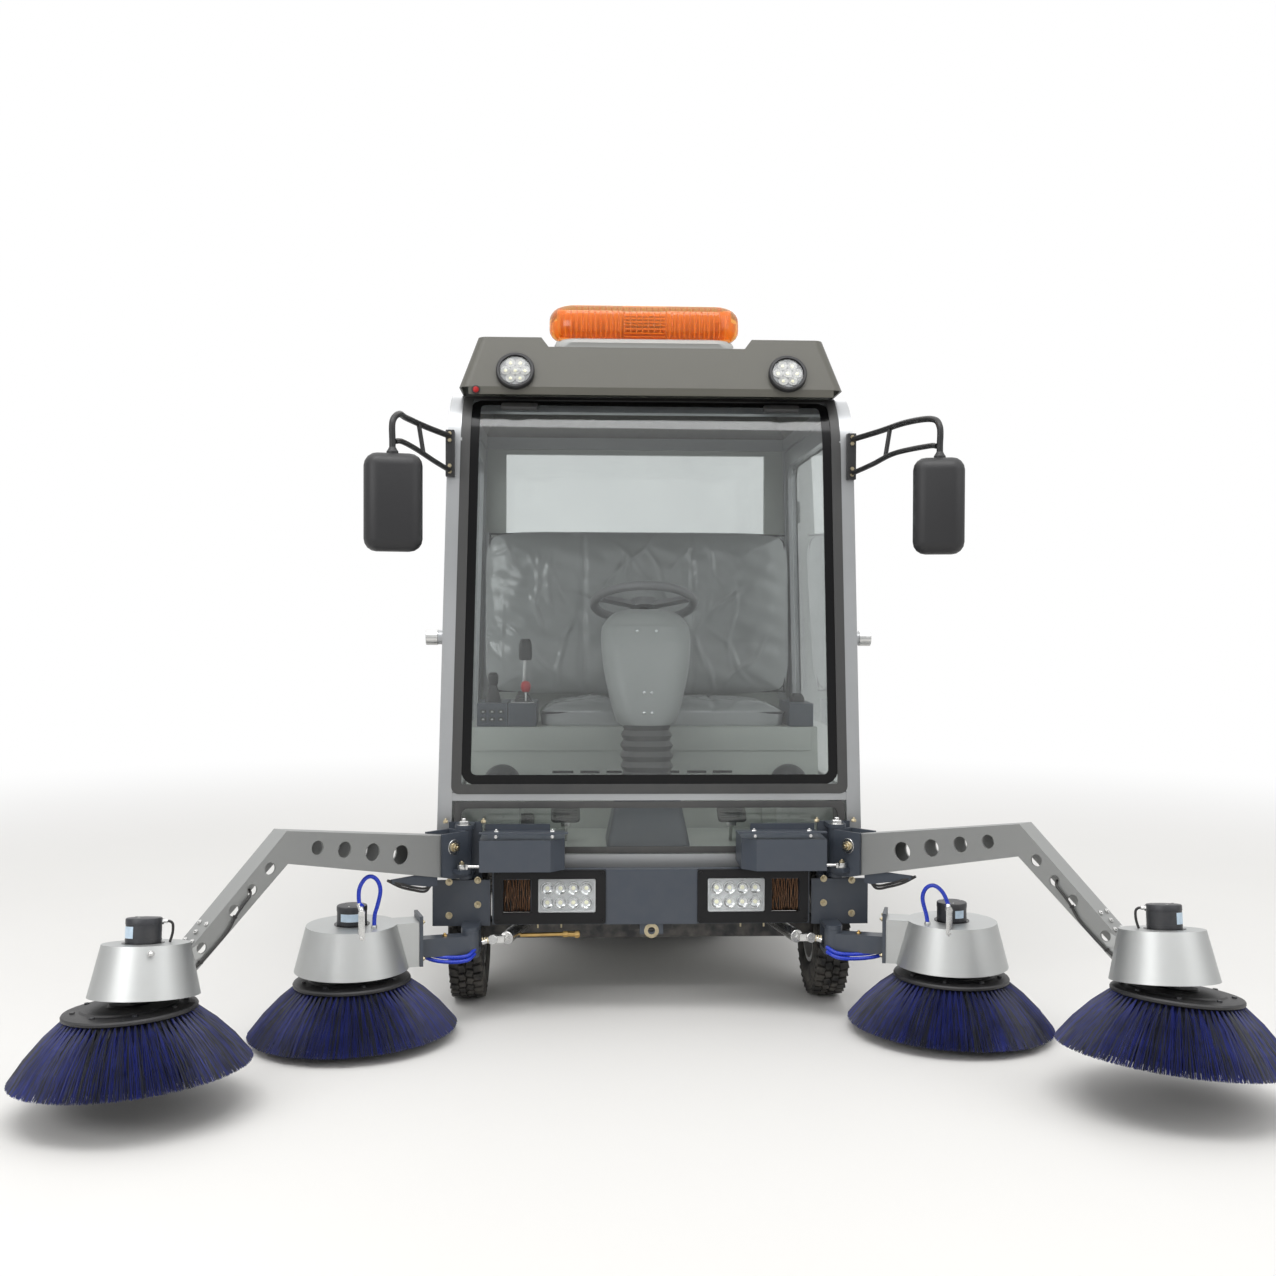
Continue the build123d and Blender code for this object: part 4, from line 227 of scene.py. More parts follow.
FINISHES = {
    "silver": lambda: finish("silver_metallic_paint", (0.42, 0.43, 0.44), 0.36, 0.72, grain=(900.0, 0.06),
                             tone=(1.6, 0.05), dust=0.12, coat_weight=0.25, coat_roughness=0.18),
    "cover": lambda: finish("brushed_cover_metal", (0.5, 0.51, 0.505), 0.42, 0.85, grain=(260.0, 0.07),
                            tone=(2.2, 0.04), dust=0.08, stretch=(6.0, 6.0, 0.3)),
    "arm": lambda: finish("arm_silver_paint", (0.29, 0.295, 0.29), 0.4, 0.35, grain=(900.0, 0.08),
                          tone=(1.6, 0.03), dust=0.05, coat_weight=0.1, coat_roughness=0.3),
    "slate": lambda: finish("slate_powder_coat", (0.05, 0.06, 0.078), 0.42, grain=(700.0, 0.12),
                            tone=(1.2, 0.03), dust=0.05),
    "chassis": lambda: finish("chassis_black_paint", (0.022, 0.023, 0.026), 0.5, grain=(400.0, 0.15), dust=0.45),
    "visor": lambda: finish("visor_satin_paint", (0.086, 0.083, 0.068), 0.46, grain=(500.0, 0.05),
                            tone=(1.2, 0.06), dust=0.05, coat_weight=0.1, coat_roughness=0.3),
    "inside": lambda: finish("inside_panel_paint", (0.42, 0.44, 0.41), 0.48, 0.1, grain=(500.0, 0.12), dust=0.12),
    "dark_plastic": lambda: finish("dark_moulded_plastic", (0.015, 0.015, 0.0165), 0.46, grain=(620.0, 0.35),
                                   dust=0.04),
    "light_plastic": lambda: finish("pale_moulded_plastic", (0.46, 0.47, 0.46), 0.42, grain=(500.0, 0.1),
                                    dust=0.08),
    "seal": lambda: finish("rubber_seal", (0.055, 0.055, 0.055), 0.5, grain=(300.0, 0.12), dust=0.12),
    # Black band printed on the glass; the same black also paints the ring of painted shade at each brush motor's base
    "frit": lambda: finish("black_glass_band", (0.004, 0.004, 0.0045), 0.16, grain=(60.0, 0.01), dust=0.02,
                           specular_ior_level=0.25),
    "tyre": lambda: finish("tyre_rubber", (0.014, 0.014, 0.014), 0.72, grain=(500.0, 0.5), tone=(9.0, 0.2),
                           dust=0.3),
    "rim": lambda: finish("wheel_paint", (0.5, 0.5, 0.5), 0.4, 0.5, grain=(500.0, 0.08), dust=0.3),
    "motor": lambda: finish("motor_charcoal_paint", (0.03, 0.032, 0.038), 0.4, 0.2, grain=(420.0, 0.2), dust=0.14),
    "steel": lambda: finish("bright_steel", (0.62, 0.62, 0.61), 0.26, 1.0, grain=(700.0, 0.08), dust=0.05,
                            tone=(20.0, 0.12)),
    "zinc": lambda: finish("yellow_zinc_plate", (0.5, 0.43, 0.29), 0.32, 1.0, grain=(600.0, 0.1), dust=0.05,
                           tone=(40.0, 0.2)),
    "brass": lambda: finish("brass_fitting", (0.5, 0.33, 0.12), 0.34, 1.0, grain=(500.0, 0.1), tone=(30.0, 0.15)),
    "hose": lambda: finish("blue_hose", (0.006, 0.035, 0.48), 0.28, grain=(300.0, 0.05), dust=0.04),
    "cable": lambda: finish("black_cable_jacket", (0.012, 0.012, 0.013), 0.45, grain=(500.0, 0.15)),
    "bristle_blue": lambda: finish("blue_filament", (0.016, 0.023, 0.155), 0.42, grain=(900.0, 0.1),
                                   tone=(14.0, 0.4), dust=0.0, spread=0.2),
    "bristle_black": lambda: finish("black_filament", (0.024, 0.026, 0.033), 0.44, grain=(900.0, 0.1),
                                    tone=(14.0, 0.4), dust=0.0, spread=0.2),
    "seat": lambda: finish("wrapped_seat_cover", (0.27, 0.28, 0.28), 0.3, grain=(38.0, 0.5), dust=0.0,
                           stretch=(0.35, 1.0, 1.6), coat_weight=1.0, coat_roughness=0.05),
    "column": lambda: finish("column_shell_paint", (0.3, 0.31, 0.305), 0.4, grain=(500.0, 0.08), dust=0.03),
    "grip": lambda: finish("wheel_grip", (0.19, 0.19, 0.195), 0.45, grain=(400.0, 0.2), dust=0.02),
    "sticker": lambda: finish("blank_sticker", (0.55, 0.68, 0.8), 0.4, grain=(300.0, 0.02), tone=(60.0, 0.12),
                              dust=0.02),
    "red": lambda: finish("red_knob", (0.42, 0.01, 0.012), 0.3, dust=0.03),
    "lamp_black": lambda: finish("lamp_housing_black", (0.008, 0.008, 0.009), 0.38, grain=(400.0, 0.1), dust=0.01,
                                 specular_ior_level=0.25),
    "led": lambda: finish("lamp_reflector", (0.62, 0.63, 0.64), 0.16, 0.85, grain=(90.0, 0.02), dust=0.0,
                          spread=0.04),
    "lamp_panel": lambda: finish("lamp_panel", (0.62, 0.63, 0.64), 0.3, dust=0.02),
    "lamp_plate": lambda: finish("lamp_plate", (0.22, 0.225, 0.23), 0.35, 0.3, dust=0.02),
    "led_core": lambda: glow_finish("lamp_chip", (0.85, 0.82, 0.62), 0.12, 0.3),
    "mirror": lambda: finish("mirror_glass", (0.85, 0.86, 0.87), 0.04, 1.0, grain=(8.0, 0.003), dust=0.02,
                             spread=0.02),
    "glass": lambda: glass_finish("window_glass", (0.76, 0.79, 0.78), 0.004),
    "screen": lambda: glass_finish("windscreen_glass", (0.74, 0.76, 0.76), 0.018, 0.015, 0.8),
    "lens": lambda: glass_finish("clear_lens", (0.96, 0.97, 0.97), 0.0, shine=0.2),
    "amber": lambda: glass_finish("amber_lens", (0.97, 0.46, 0.09), 0.14, 0.08, 0.5),
    "amber_inner": lambda: glow_finish("amber_reflector", (0.78, 0.27, 0.05), 0.05, 0.3),
    "copper": lambda: finish("copper_reflector", (0.15, 0.075, 0.038), 0.25, 0.8, grain=(220.0, 0.2)),
    "roller": lambda: finish("roller_core", (0.02, 0.02, 0.025), 0.5),
    "tail_red": lambda: glow_finish("red_lamp_lens", (0.5, 0.01, 0.01), 0.05, 0.15),
}


def paint(name):
    """The finished material of that name."""
    return FINISHES[name]()


# Places

def axis_matrix(place, axis, along=None):
    """Frame at a point whose Z runs along an axis and whose X lies nearest to another."""
    z = Vector(axis).normalized()
    reference = Vector(along or (FRONT if abs(z.y) < 0.9 else LEFT))
    x = (reference - z * reference.dot(z)).normalized()
    turn = Matrix((x, z.cross(x), z)).transposed().to_4x4()
    return Matrix.Translation(Vector(place)) @ turn


def at(x, back, height):
    """Point from its side, its distance behind the cab's front and its height."""
    return Vector((x, CAB_FRONT + back, height))


def on_side(sign):
    """The same, with its distance to the side measured on one side of the machine."""
    return lambda x, back, height: at(sign * x, back, height)


def front_frame(x, back, height):
    """Frame on a front face: X to the left side, Y up and Z forwards."""
    return axis_matrix(at(x, back, height), FRONT, LEFT)


def level_frame(x, back, height=0.0):
    """Upright frame whose X runs to the left side."""
    return axis_matrix(at(x, back, height), UP, LEFT)


def joint_place(name):
    """Point that a joint turns about."""
    return Vector(JOINTS[name]["pos_m"])


def joint_frame(name):
    """Frame on a joint whose Z is its axis."""
    return axis_matrix(joint_place(name), JOINTS[name]["axis"])


def middle_and_half(name):
    """Centre and half size of a carried-over solid."""
    low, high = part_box(name)
    return (low + high) / 2, (high - low) / 2


def polar(radius, angle, height=0.0):
    """Point from its distance and angle about the Z axis, and its height."""
    return Vector((radius * math.cos(angle), radius * math.sin(angle), height))


def around(count, shift=0.0):
    """Equally spaced angles of a full turn."""
    return [math.tau * (k + shift) / count for k in range(count)]


def moved(matrix, x, y, z):
    """A frame moved along its own axes."""
    return matrix @ Matrix.Translation((x, y, z))


def leaned(half, height):
    """Half width of the cab at a height, from its half width at the sill."""
    return half - SIDE_LEAN * (height - SILL_HEIGHT)


def smooth_line(points, steps):
    """Points along a smooth line through the given points."""
    points = [Vector(point) for point in points]
    if len(points) < 3:
        return points
    ends = [points[0] * 2 - points[1], *points, points[-1] * 2 - points[-2]]
    line = []
    for before, start, end, after in zip(ends, ends[1:], ends[2:], ends[3:]):
        for t in (step / steps for step in range(steps)):
            line.append(0.5 * (2 * start + (end - before) * t + (2 * before - 5 * start + 4 * end - after) * t ** 2
                               + (3 * start - before - 3 * end + after) * t ** 3))
    return [*line, points[-1]]


def rounded_outline(width, height, radius, steps=6):
    """Outline of a rectangle with round corners, centred."""
    outline = []
    for turn, (cx, cy) in enumerate(((1, 1), (-1, 1), (-1, -1), (1, -1))):
        for step in range(steps + 1):
            angle = math.pi / 2 * (turn + step / steps)
            outline.append((cx * (width / 2 - radius) + radius * math.cos(angle),
                            cy * (height / 2 - radius) + radius * math.sin(angle)))
    return outline


def hole(width, height, radius, x=0.0, y=0.0, steps=6):
    """Outline of a hole with round corners, which runs the other way round."""
    return [(px + x, py + y) for px, py in rounded_outline(width, height, radius, steps)][::-1]


# Mesh making

class Form:
    """A mesh in the making, with one material index per kind of surface."""

    def __init__(self, *paints):
        self.mesh = bmesh.new()
        self.paints = paints

    def _mark(self, made, index):
        for item in made:
            if isinstance(item, bmesh.types.BMFace):
                item.material_index = index

    def _soften(self, edges, offset, segments, index):
        result = bmesh.ops.bevel(self.mesh, geom=list(edges), offset=offset, segments=segments,
                                 profile=BEVEL_PROFILE, affect="EDGES", clamp_overlap=True)
        self._mark(result["faces"], index)

    def box(self, centre, size, turn=None, bevel=0.002, index=0, segments=2):
        """Rounded block, turned about its centre."""
        matrix = (turn or Matrix.Identity(4)).copy()
        matrix.translation = Vector(centre)
        verts = bmesh.ops.create_cube(self.mesh, size=1.0, matrix=matrix @ Matrix.Diagonal((*size, 1)))["verts"]
        self._mark({face for vert in verts for face in vert.link_faces}, index)
        self._soften(dict.fromkeys(edge for vert in verts for edge in vert.link_edges), bevel, segments, index)

    def lathe(self, profile, matrix, steps=48, index=0, closed=False):
        """Surface of revolution about the frame's Z of (radius, height) points."""
        rings = [[self.mesh.verts.new(matrix @ polar(radius, angle, height))
                  for angle in (around(steps) if radius > 1e-6 else [0.0])] for radius, height in profile]
        for low, high in zip(rings, rings[1:] + (rings[:1] if closed else [])):
            for step in range(steps):
                following = (step + 1) % steps
                corners = dict.fromkeys((low[step % len(low)], low[following % len(low)],
                                         high[following % len(high)], high[step % len(high)]))
                if len(corners) > 2:
                    self.mesh.faces.new(tuple(corners)).material_index = index

    def rod(self, start, end, radius, steps=20, index=0):
        """Round bar with lightly chamfered ends."""
        start, end = Vector(start), Vector(end)
        length = (end - start).length
        chamfer = min(ROD_CHAMFER, radius / 2)
        self.lathe(((0, 0), (radius - chamfer, 0), (radius, chamfer), (radius, length - chamfer),
                    (radius - chamfer, length), (0, length)), axis_matrix(start, end - start), steps, index)

    def nut(self, place, axis, across, tall, index=0, stud=0.0):
        """Hexagon head, with a stud end when asked."""
        matrix = axis_matrix(place, axis)
        radius = across / 2 / math.cos(math.pi / 6)
        self.lathe(((0, 0), (radius, 0), (radius, tall * 0.85), (radius * 0.9, tall), (0, tall)), matrix, 6, index)
        if stud:
            self.lathe(((stud, tall), (stud, tall * 1.5), (stud * 0.8, tall * 1.65), (0, tall * 1.65)), matrix, 14,
                       index)

    def washer(self, place, axis, radius, inside, thick, index=0):
        """Flat ring lying on a face."""
        profile = ((inside, 0), (radius, 0), (radius, thick * 0.7), (radius - thick * 0.3, thick), (inside, thick))
        self.lathe(profile, axis_matrix(place, axis), 32, index, closed=True)

    def tube(self, points, radius, sides, index=0, steps=10):
        """Round tube along a smooth line through the points."""
        line = smooth_line(points, steps)
        rings = []
        normal = None
        for number, point in enumerate(line):
            ahead = (line[min(number + 1, len(line) - 1)] - line[max(number - 1, 0)]).normalized()
            normal = normal or ahead.orthogonal().normalized()
            normal = (normal - ahead * normal.dot(ahead)).normalized()
            side = ahead.cross(normal)
            rings.append([point + (normal * math.cos(angle) + side * math.sin(angle)) * radius
                          for angle in around(sides)])
        self.skin(rings, index)

    def skin(self, rings, index=0, joined=False):
        """Quads between rings of equally many points, capped, or joined into a loop."""
        rings = [[self.mesh.verts.new(point) for point in ring] for ring in rings]
        for low, high in zip(rings, rings[1:] + (rings[:1] if joined else [])):
            for k in range(len(low)):
                following = (k + 1) % len(low)
                face = self.mesh.faces.new((low[k], low[following], high[following], high[k]))
                face.material_index = index
        for ring in () if joined else (rings[0], rings[-1]):
            self.mesh.faces.new(ring).material_index = index

    def tower(self, levels, matrix, index=0, steps=6):
        """Skin over rounded rectangles (width, depth, corner, height) stacked along the frame's Z."""
        self.skin([[matrix @ Vector((x, y, height)) for x, y in rounded_outline(width, depth, corner, steps)]
                   for width, depth, corner, height in levels], index)

    def pillow(self, size, corner, edge, matrix, index=0):
        """Block with round corners seen along the frame's Z and round edges at both ends."""
        width, depth, tall = size
        levels = [(edge * (1 - math.sin(angle)), edge * (1 - math.cos(angle)))
                  for angle in (math.pi / 2 * k / 4 for k in range(5))]
        levels += [(inset, tall - height) for inset, height in reversed(levels)]
        self.tower([(width - 2 * inset, depth - 2 * inset, max(corner - inset, 0.0008), height - tall / 2)
                    for inset, height in levels], matrix, index)

    def plate(self, outline, matrix, thick, bevel=0.001, index=0, holes=()):
        """Flat plate from an outline in the frame's XY, grown along its Z."""
        verts, edges = [], []
        for loop in (outline, *holes):
            ring = [self.mesh.verts.new(matrix @ Vector((x, y, 0))) for x, y in loop]
            verts += ring
            edges += [self.mesh.edges.new((ring[k], ring[(k + 1) % len(ring)])) for k in range(len(ring))]
        if holes:
            filled = bmesh.ops.triangle_fill(self.mesh, edges=edges, use_dissolve=True, use_beauty=True)
            faces = [item for item in filled["geom"] if isinstance(item, bmesh.types.BMFace)]
        else:
            faces = [self.mesh.faces.new(verts)]
        grown = bmesh.ops.extrude_face_region(self.mesh, geom=faces)
        raised = [item for item in grown["geom"] if isinstance(item, bmesh.types.BMVert)]
        bmesh.ops.translate(self.mesh, verts=raised, vec=matrix.to_3x3() @ Vector((0, 0, thick)))
        everything = dict.fromkeys(face for vert in verts + raised for face in vert.link_faces)
        self._mark(everything, index)
        self._soften(dict.fromkeys(edge for face in everything for edge in face.edges
                                   if edge.is_manifold and edge.calc_face_angle(0) > SHARP_ANGLE), bevel, 2, index)

    def done(self, name, body, replaces=(), angle=SHARP_ANGLE):
        """Turns the form into an object that rides on a body."""
        bmesh.ops.recalc_face_normals(self.mesh, faces=self.mesh.faces)
        data = bpy.data.meshes.new(name)
        for face in self.mesh.faces:
            face.smooth = True
        for edge in self.mesh.edges:
            edge.smooth = not (edge.is_manifold and edge.calc_face_angle(0) > angle)
        self.mesh.to_mesh(data)
        self.mesh.free()
        return settled(name, data, self.paints, body, replaces)


def settled(name, data, paints, body, replaces):
    """A finished mesh as an object that rides on its body and the nodes it stands for."""
    for label in paints:
        data.materials.append(paint(label))
    piece = bpy.data.objects.new(name, data)
    bpy.context.scene.collection.objects.link(piece)
    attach(piece, body)
    if replaces:
        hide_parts(*replaces)
    return piece


# Sizes and colours

class SweeperBrushSizes(bpy.types.PropertyGroup):
    """Sizes of the side brushes' bristles."""
    filaments: bpy.props.IntProperty(name="Filaments", description="Filaments in each side brush", default=7000,
                                     min=100, max=8000)
    thickness: bpy.props.FloatProperty(name="Filament thickness", description="Thickness of one filament",
                                       default=0.0016, unit="LENGTH")
    blue_share: bpy.props.FloatProperty(name="Blue share", description="Share of the tufts that are blue",
                                        default=0.5, min=0, max=1, subtype="FACTOR")


class SweeperStageSizes(bpy.types.PropertyGroup):
    """Camera and floor of the stage."""
    floor_colour: bpy.props.FloatVectorProperty(name="Floor", description="Colour of the floor", subtype="COLOR",
                                                default=(0.8, 0.79, 0.77), min=0, max=1)
    distance: bpy.props.FloatProperty(name="Distance", description="Camera distance from the cab's front",
                                      default=4.19, unit="LENGTH")
    height: bpy.props.FloatProperty(name="Height", description="Camera height above ground", default=1.1975,
                                    unit="LENGTH")


class SweeperOperator(bpy.types.Operator):
    """Base of the sweeper's operators."""
    bl_idname = "sweeper.base"
    bl_label = "Base"
    bl_options = {"REGISTER", "UNDO"}

    def execute(self, context):
        self.make(context)
        return {"FINISHED"}

    def make(self, context):
        """Makes the operator's pieces."""


# Stage

# The photograph's camera: focal length and width in pixels, the sensor width in millimetres that stands for it,
# its place to the side and its angles; and between which distances the floor fades into the white surroundings
FOCAL_PIXELS, PHOTO_PIXELS, SENSOR = 1380.0, 1276.0, 36.0
CAMERA_SIDE = -0.222
CAMERA_YAW, CAMERA_PITCH, CAMERA_ROLL = (math.radians(angle) for angle in (-2.49, 90 - 0.913, 0.19))
FLOOR_FADE = (2.6, 7.5)

# Name, place, aim, width and depth in metres and power in watts of each softbox
SOFTBOXES = (
    ("key", (-0.6, -3.3, 6.2), (0, -0.4, 0.9), (6.0, 2.4), 190.0),
    ("fill", (4.4, -3.6, 3.4), (0, 0, 0.8), (3.6, 3.6), 45.0),
    ("front", (-3.5, -4.5, 2.5), (0, 0.2, 1.2), (3.0, 1.2), 50.0),
    ("rear", (0.5, 5.0, 4.6), (0, 0.4, 1.0), (3.6, 3.6), 50.0),
)


def plain_sight(tree, lighting, shine):
    """Strength of the white surroundings: full where they are seen, less where they light or shine on the pieces."""
    path = add_node(tree, "ShaderNodeLightPath").outputs
    straight = worked_out(tree, "MAXIMUM", path["Is Camera Ray"], path["Is Transmission Ray"])
    soft = add_node(tree, "ShaderNodeMix", {0: path["Is Glossy Ray"], 2: lighting, 3: shine}, data_type="FLOAT")
    return add_node(tree, "ShaderNodeMix", {0: straight, 2: soft.outputs[0], 3: 1.0}, data_type="FLOAT").outputs[0]


class SWEEPER_OT_stage(SweeperOperator):
    """Floor, soft light and the camera at the photograph's place"""
    bl_idname = "sweeper.stage"
    bl_label = "Stage"

    def make(self, context):
        sizes = context.scene.sweeper_stage
        scene = context.scene
        scene.view_settings.view_transform = "Standard"
        camera = bpy.data.cameras.new("Camera")
        camera.sensor_width = SENSOR
        camera.lens = FOCAL_PIXELS * SENSOR / PHOTO_PIXELS
        camera.clip_end = 100.0
        view = bpy.data.objects.new("Camera", camera)
        turn = (Matrix.Rotation(CAMERA_YAW, 4, "Z") @ Matrix.Rotation(CAMERA_PITCH, 4, "X")
                @ Matrix.Rotation(CAMERA_ROLL, 4, "Z"))
        view.matrix_world = Matrix.Translation(at(CAMERA_SIDE, -sizes.distance, sizes.height)) @ turn
        scene.collection.objects.link(view)
        scene.camera = view

        floor_mesh = bmesh.new()
        bmesh.ops.create_circle(floor_mesh, cap_ends=True, segments=96, radius=60.0)
        data = bpy.data.meshes.new("floor")
        floor_mesh.to_mesh(data)
        floor_mesh.free()
        ground = finish("floor_paint", tuple(sizes.floor_colour), 0.8, grain=(30.0, 0.02), tone=(0.5, 0.01), dust=0.0)
        data.materials.append(ground)
        floor = bpy.data.objects.new("floor", data)
        floor.location.z = -0.0005
        scene.collection.objects.link(floor)
        tree = ground.node_tree
        glow = add_node(tree, "ShaderNodeEmission", {"Strength": plain_sight(tree, 0.35, 0.75)})
        place = add_node(tree, "ShaderNodeTexCoord")
        distance = add_node(tree, "ShaderNodeVectorMath", {0: place.outputs["Object"]}, operation="LENGTH")
        fade = ranged(tree, distance.outputs["Value"], *FLOOR_FADE, interpolation_type="SMOOTHSTEP")
        mix = add_node(tree, "ShaderNodeMixShader", {0: fade, 1: tree.nodes["Principled BSDF"].outputs[0],
                                                     2: glow.outputs[0]})
        tree.links.new(mix.outputs[0], tree.nodes["Material Output"].inputs["Surface"])

        world = bpy.data.worlds.new("Studio")
        world.use_nodes = True
        scene.world = world
        tree = world.node_tree
        backdrop = tree.nodes["Background"]
        backdrop.inputs["Color"].default_value = (1, 1, 1, 1)
        way = add_node(tree, "ShaderNodeTexCoord")
        height = add_node(tree, "ShaderNodeSeparateXYZ", {0: way.outputs["Generated"]}).outputs["Z"]
        lighting = ranged(tree, height, -0.1, 0.8, 0.25, 0.85)
        seen = plain_sight(tree, lighting, ranged(tree, height, -0.1, 0.9, 0.35, 1.7))
        tree.links.new(seen, backdrop.inputs["Strength"])

        for name, place, aim, size, power in SOFTBOXES:
            lamp = bpy.data.lights.new(name, "AREA")
            lamp.shape = "RECTANGLE"
            lamp.size, lamp.size_y = size
            lamp.energy = power
            light = bpy.data.objects.new(name, lamp)
            light.matrix_world = (Matrix.Translation(place)
                                  @ (Vector(aim) - Vector(place)).to_track_quat("-Z", "Y").to_matrix().to_4x4())
            scene.collection.objects.link(light)


# Carried-over solids; a name that ends in an underscore stands for its left and right solids

CARRIED = {
    "silver": ("cab_frame", "mid_body", "hopper", "door_"),
    "arm": ("outer_arm_",),
    "cover": ("inner_cover_",),
    "slate": ("front_bumper", "arm_mounts", "brush_actuators", "hopper_door", "outer_bracket_", "inner_arm_"),
    "chassis": ("frame_rails", "frame_cross_members", "front_axle", "rear_axle", "roller_hood", "knuckle_",
                "hopper_barrels"),
    "visor": ("roof_cap",),
    "inside": ("cab_tub",),
    "screen": ("windscreen",),
    "glass": ("cab_windows", "door_glass_"),
    "steel": ("hopper_rods", "outer_rod_"),
    "rim": ("rim_front_", "rim_rear_"),
    "grip": ("steering_wheel",),
    "dark_plastic": ("steering_column", "side_consoles", "mirrors", "front_lamps"),
    "seat": ("seat",),
    "motor": ("battery_pack", "outer_motor_", "inner_motor_"),
    "amber": ("beacon_bar",),
    "tyre": ("tyre_front_", "tyre_rear_"),
    "roller": ("main_roller", "outer_brush_", "inner_brush_"),
}


class SWEEPER_OT_carried(SweeperOperator):
    """Finishes and softened edges for the carried-over solids"""
    bl_idname = "sweeper.carried"
    bl_label = "Carried-over solids"

    def make(self, context):
        for label, names in CARRIED.items():
            for name in (name + side for name in names for side in (("left", "right") if name[-1] == "_" else ("",))):
                node = frame["nodes"][name]
                node.data.materials.clear()
                node.data.materials.append(paint(label))
                if label == "arm":
                    node.data.materials.append(paint("cover"))
                    middle, _ = middle_and_half(name.replace("arm", "motor"))
                    corners = [node.matrix_world @ vertex.co - middle for vertex in node.data.vertices]
                    for face in node.data.polygons:
                        away = max(corners[k].xy.length for k in face.vertices)
                        face.material_index = int(away < COVER_REACH)
                if label in ("glass", "screen", "tyre", "roller"):
                    continue
                bevel = node.modifiers.new("soft_edges", "BEVEL")
                bevel.width = SOFT_EDGE
                bevel.segments = 2
                bevel.limit_method = "ANGLE"
                bevel.angle_limit = SOFT_EDGE_ANGLE
                bevel.harden_normals = True
                bevel.use_clamp_overlap = True


# Side brushes

# Rows of tufts round a brush, and points along each filament
BRISTLE_ROWS, BRISTLE_LEVELS = 66, 4

# Root radius, shortest and longest tip radius, reach, fan and share of the filaments of each ring of tufts
BRISTLE_RINGS = (
    (0.158, 0.286, 0.294, 1.0, 0.5, 0.5),
    (0.142, 0.264, 0.288, 0.985, 0.55, 0.28),
    (0.122, 0.228, 0.266, 0.97, 0.6, 0.22),
)

# Radius and height of the moulded disc's profile about the brush's shaft
DISC_PROFILE = ((0, 0.006), (0.05, 0.006), (0.054, 0.002), (0.118, 0), (0.122, -0.004), (0.15, -0.005),
                (0.1625, -0.008), (0.165, -0.012), (0.1645, -0.0175), (0.16, -0.0198), (0, -0.0198))


def brush_filaments(name, joint, drop, seed, sizes, scale):
    """Rows of thin tapering filaments that fan out below a brush's disc, in blue and black patches."""
    rng = np.random.default_rng(seed)
    rows, levels = BRISTLE_ROWS, BRISTLE_LEVELS
    waves = [(rng.integers(3, 12), rng.uniform(0, math.tau), rng.uniform(0.5, 1)) for _ in range(5)]
    wave_rows = np.arange(rows) * math.tau / rows
    patch = sum(size * np.sin(number * wave_rows + phase) for number, phase, size in waves) + rng.normal(0, 0.9, rows)
    dark = patch < np.quantile(patch, 1 - sizes.blue_share)
    points, marks = [], []
    for ring, (root_radius, tip_low, tip_high, reach, fan, part) in enumerate(BRISTLE_RINGS):
        row = np.repeat(np.arange(rows), int(sizes.filaments * part / rows))
        total = len(row)
        flat = np.zeros(total)
        turn = math.tau * (row + 0.5 * (ring % 2)) / rows
        roots = turn + rng.normal(0, 0.0045, total)
        tips = turn + rng.normal(0, fan, total) * math.tau / rows
        radii = rng.uniform(tip_low, tip_high, total) * scale
        root = np.stack((root_radius * scale * np.cos(roots), root_radius * scale * np.sin(roots), flat - 0.0185), 1)
        tip = np.stack((radii * np.cos(tips), radii * np.sin(tips),
                        -0.020 - drop * reach * rng.uniform(0.975, 1.0, total)), 1)
        swell = np.stack((np.cos(turn), np.sin(turn), flat + 0.55), 1) * rng.uniform(0.018, 0.032, total)[:, None]
        across = np.stack((-np.sin(turn), np.cos(turn), flat), 1)
        upright = np.stack((0.45 * np.cos(turn), 0.45 * np.sin(turn), flat + 0.89), 1)
        corners = []
        for t in np.linspace(0, 1, levels):
            point = root + (tip - root) * t + swell * t * (1 - t)
            wide = sizes.thickness / 2 * (1.0 - 0.3 * t)
            corners += [point + upright * wide, point + (across * 0.87 - upright * 0.5) * wide,
                        point - (across * 0.87 + upright * 0.5) * wide]
        points.append(np.stack(corners, 1))
        marks.append(dark[row] != (rng.random(total) < 0.4))
    points = np.concatenate(points)
    marks = np.concatenate(marks).astype(int)
    base = np.arange(len(points)) * 3 * levels
    sides = [(3 * level + k, 3 * level + (k + 1) % 3, 3 * level + 3 + (k + 1) % 3, 3 * level + 3 + k)
             for level in range(levels - 1) for k in range(3)]
    faces = (base[:, None, None] + np.array(sides)).reshape(-1, 4).tolist()
    faces += (base[:, None] + 3 * (levels - 1) + np.arange(3)).tolist()
    data = placed_mesh(name, points.reshape(-1, 3), faces, joint)
    data.polygons.foreach_set("material_index", [*np.repeat(marks, len(sides)).tolist(), *marks.tolist()])
    return data


def placed_mesh(name, points, faces, joint):
    """Mesh from points in a joint's own frame."""
    matrix = np.array(joint_frame(joint))
    data = bpy.data.meshes.new(name)
    data.from_pydata((points @ matrix[:3, :3].T + matrix[:3, 3]).tolist(), [], faces)
    return data


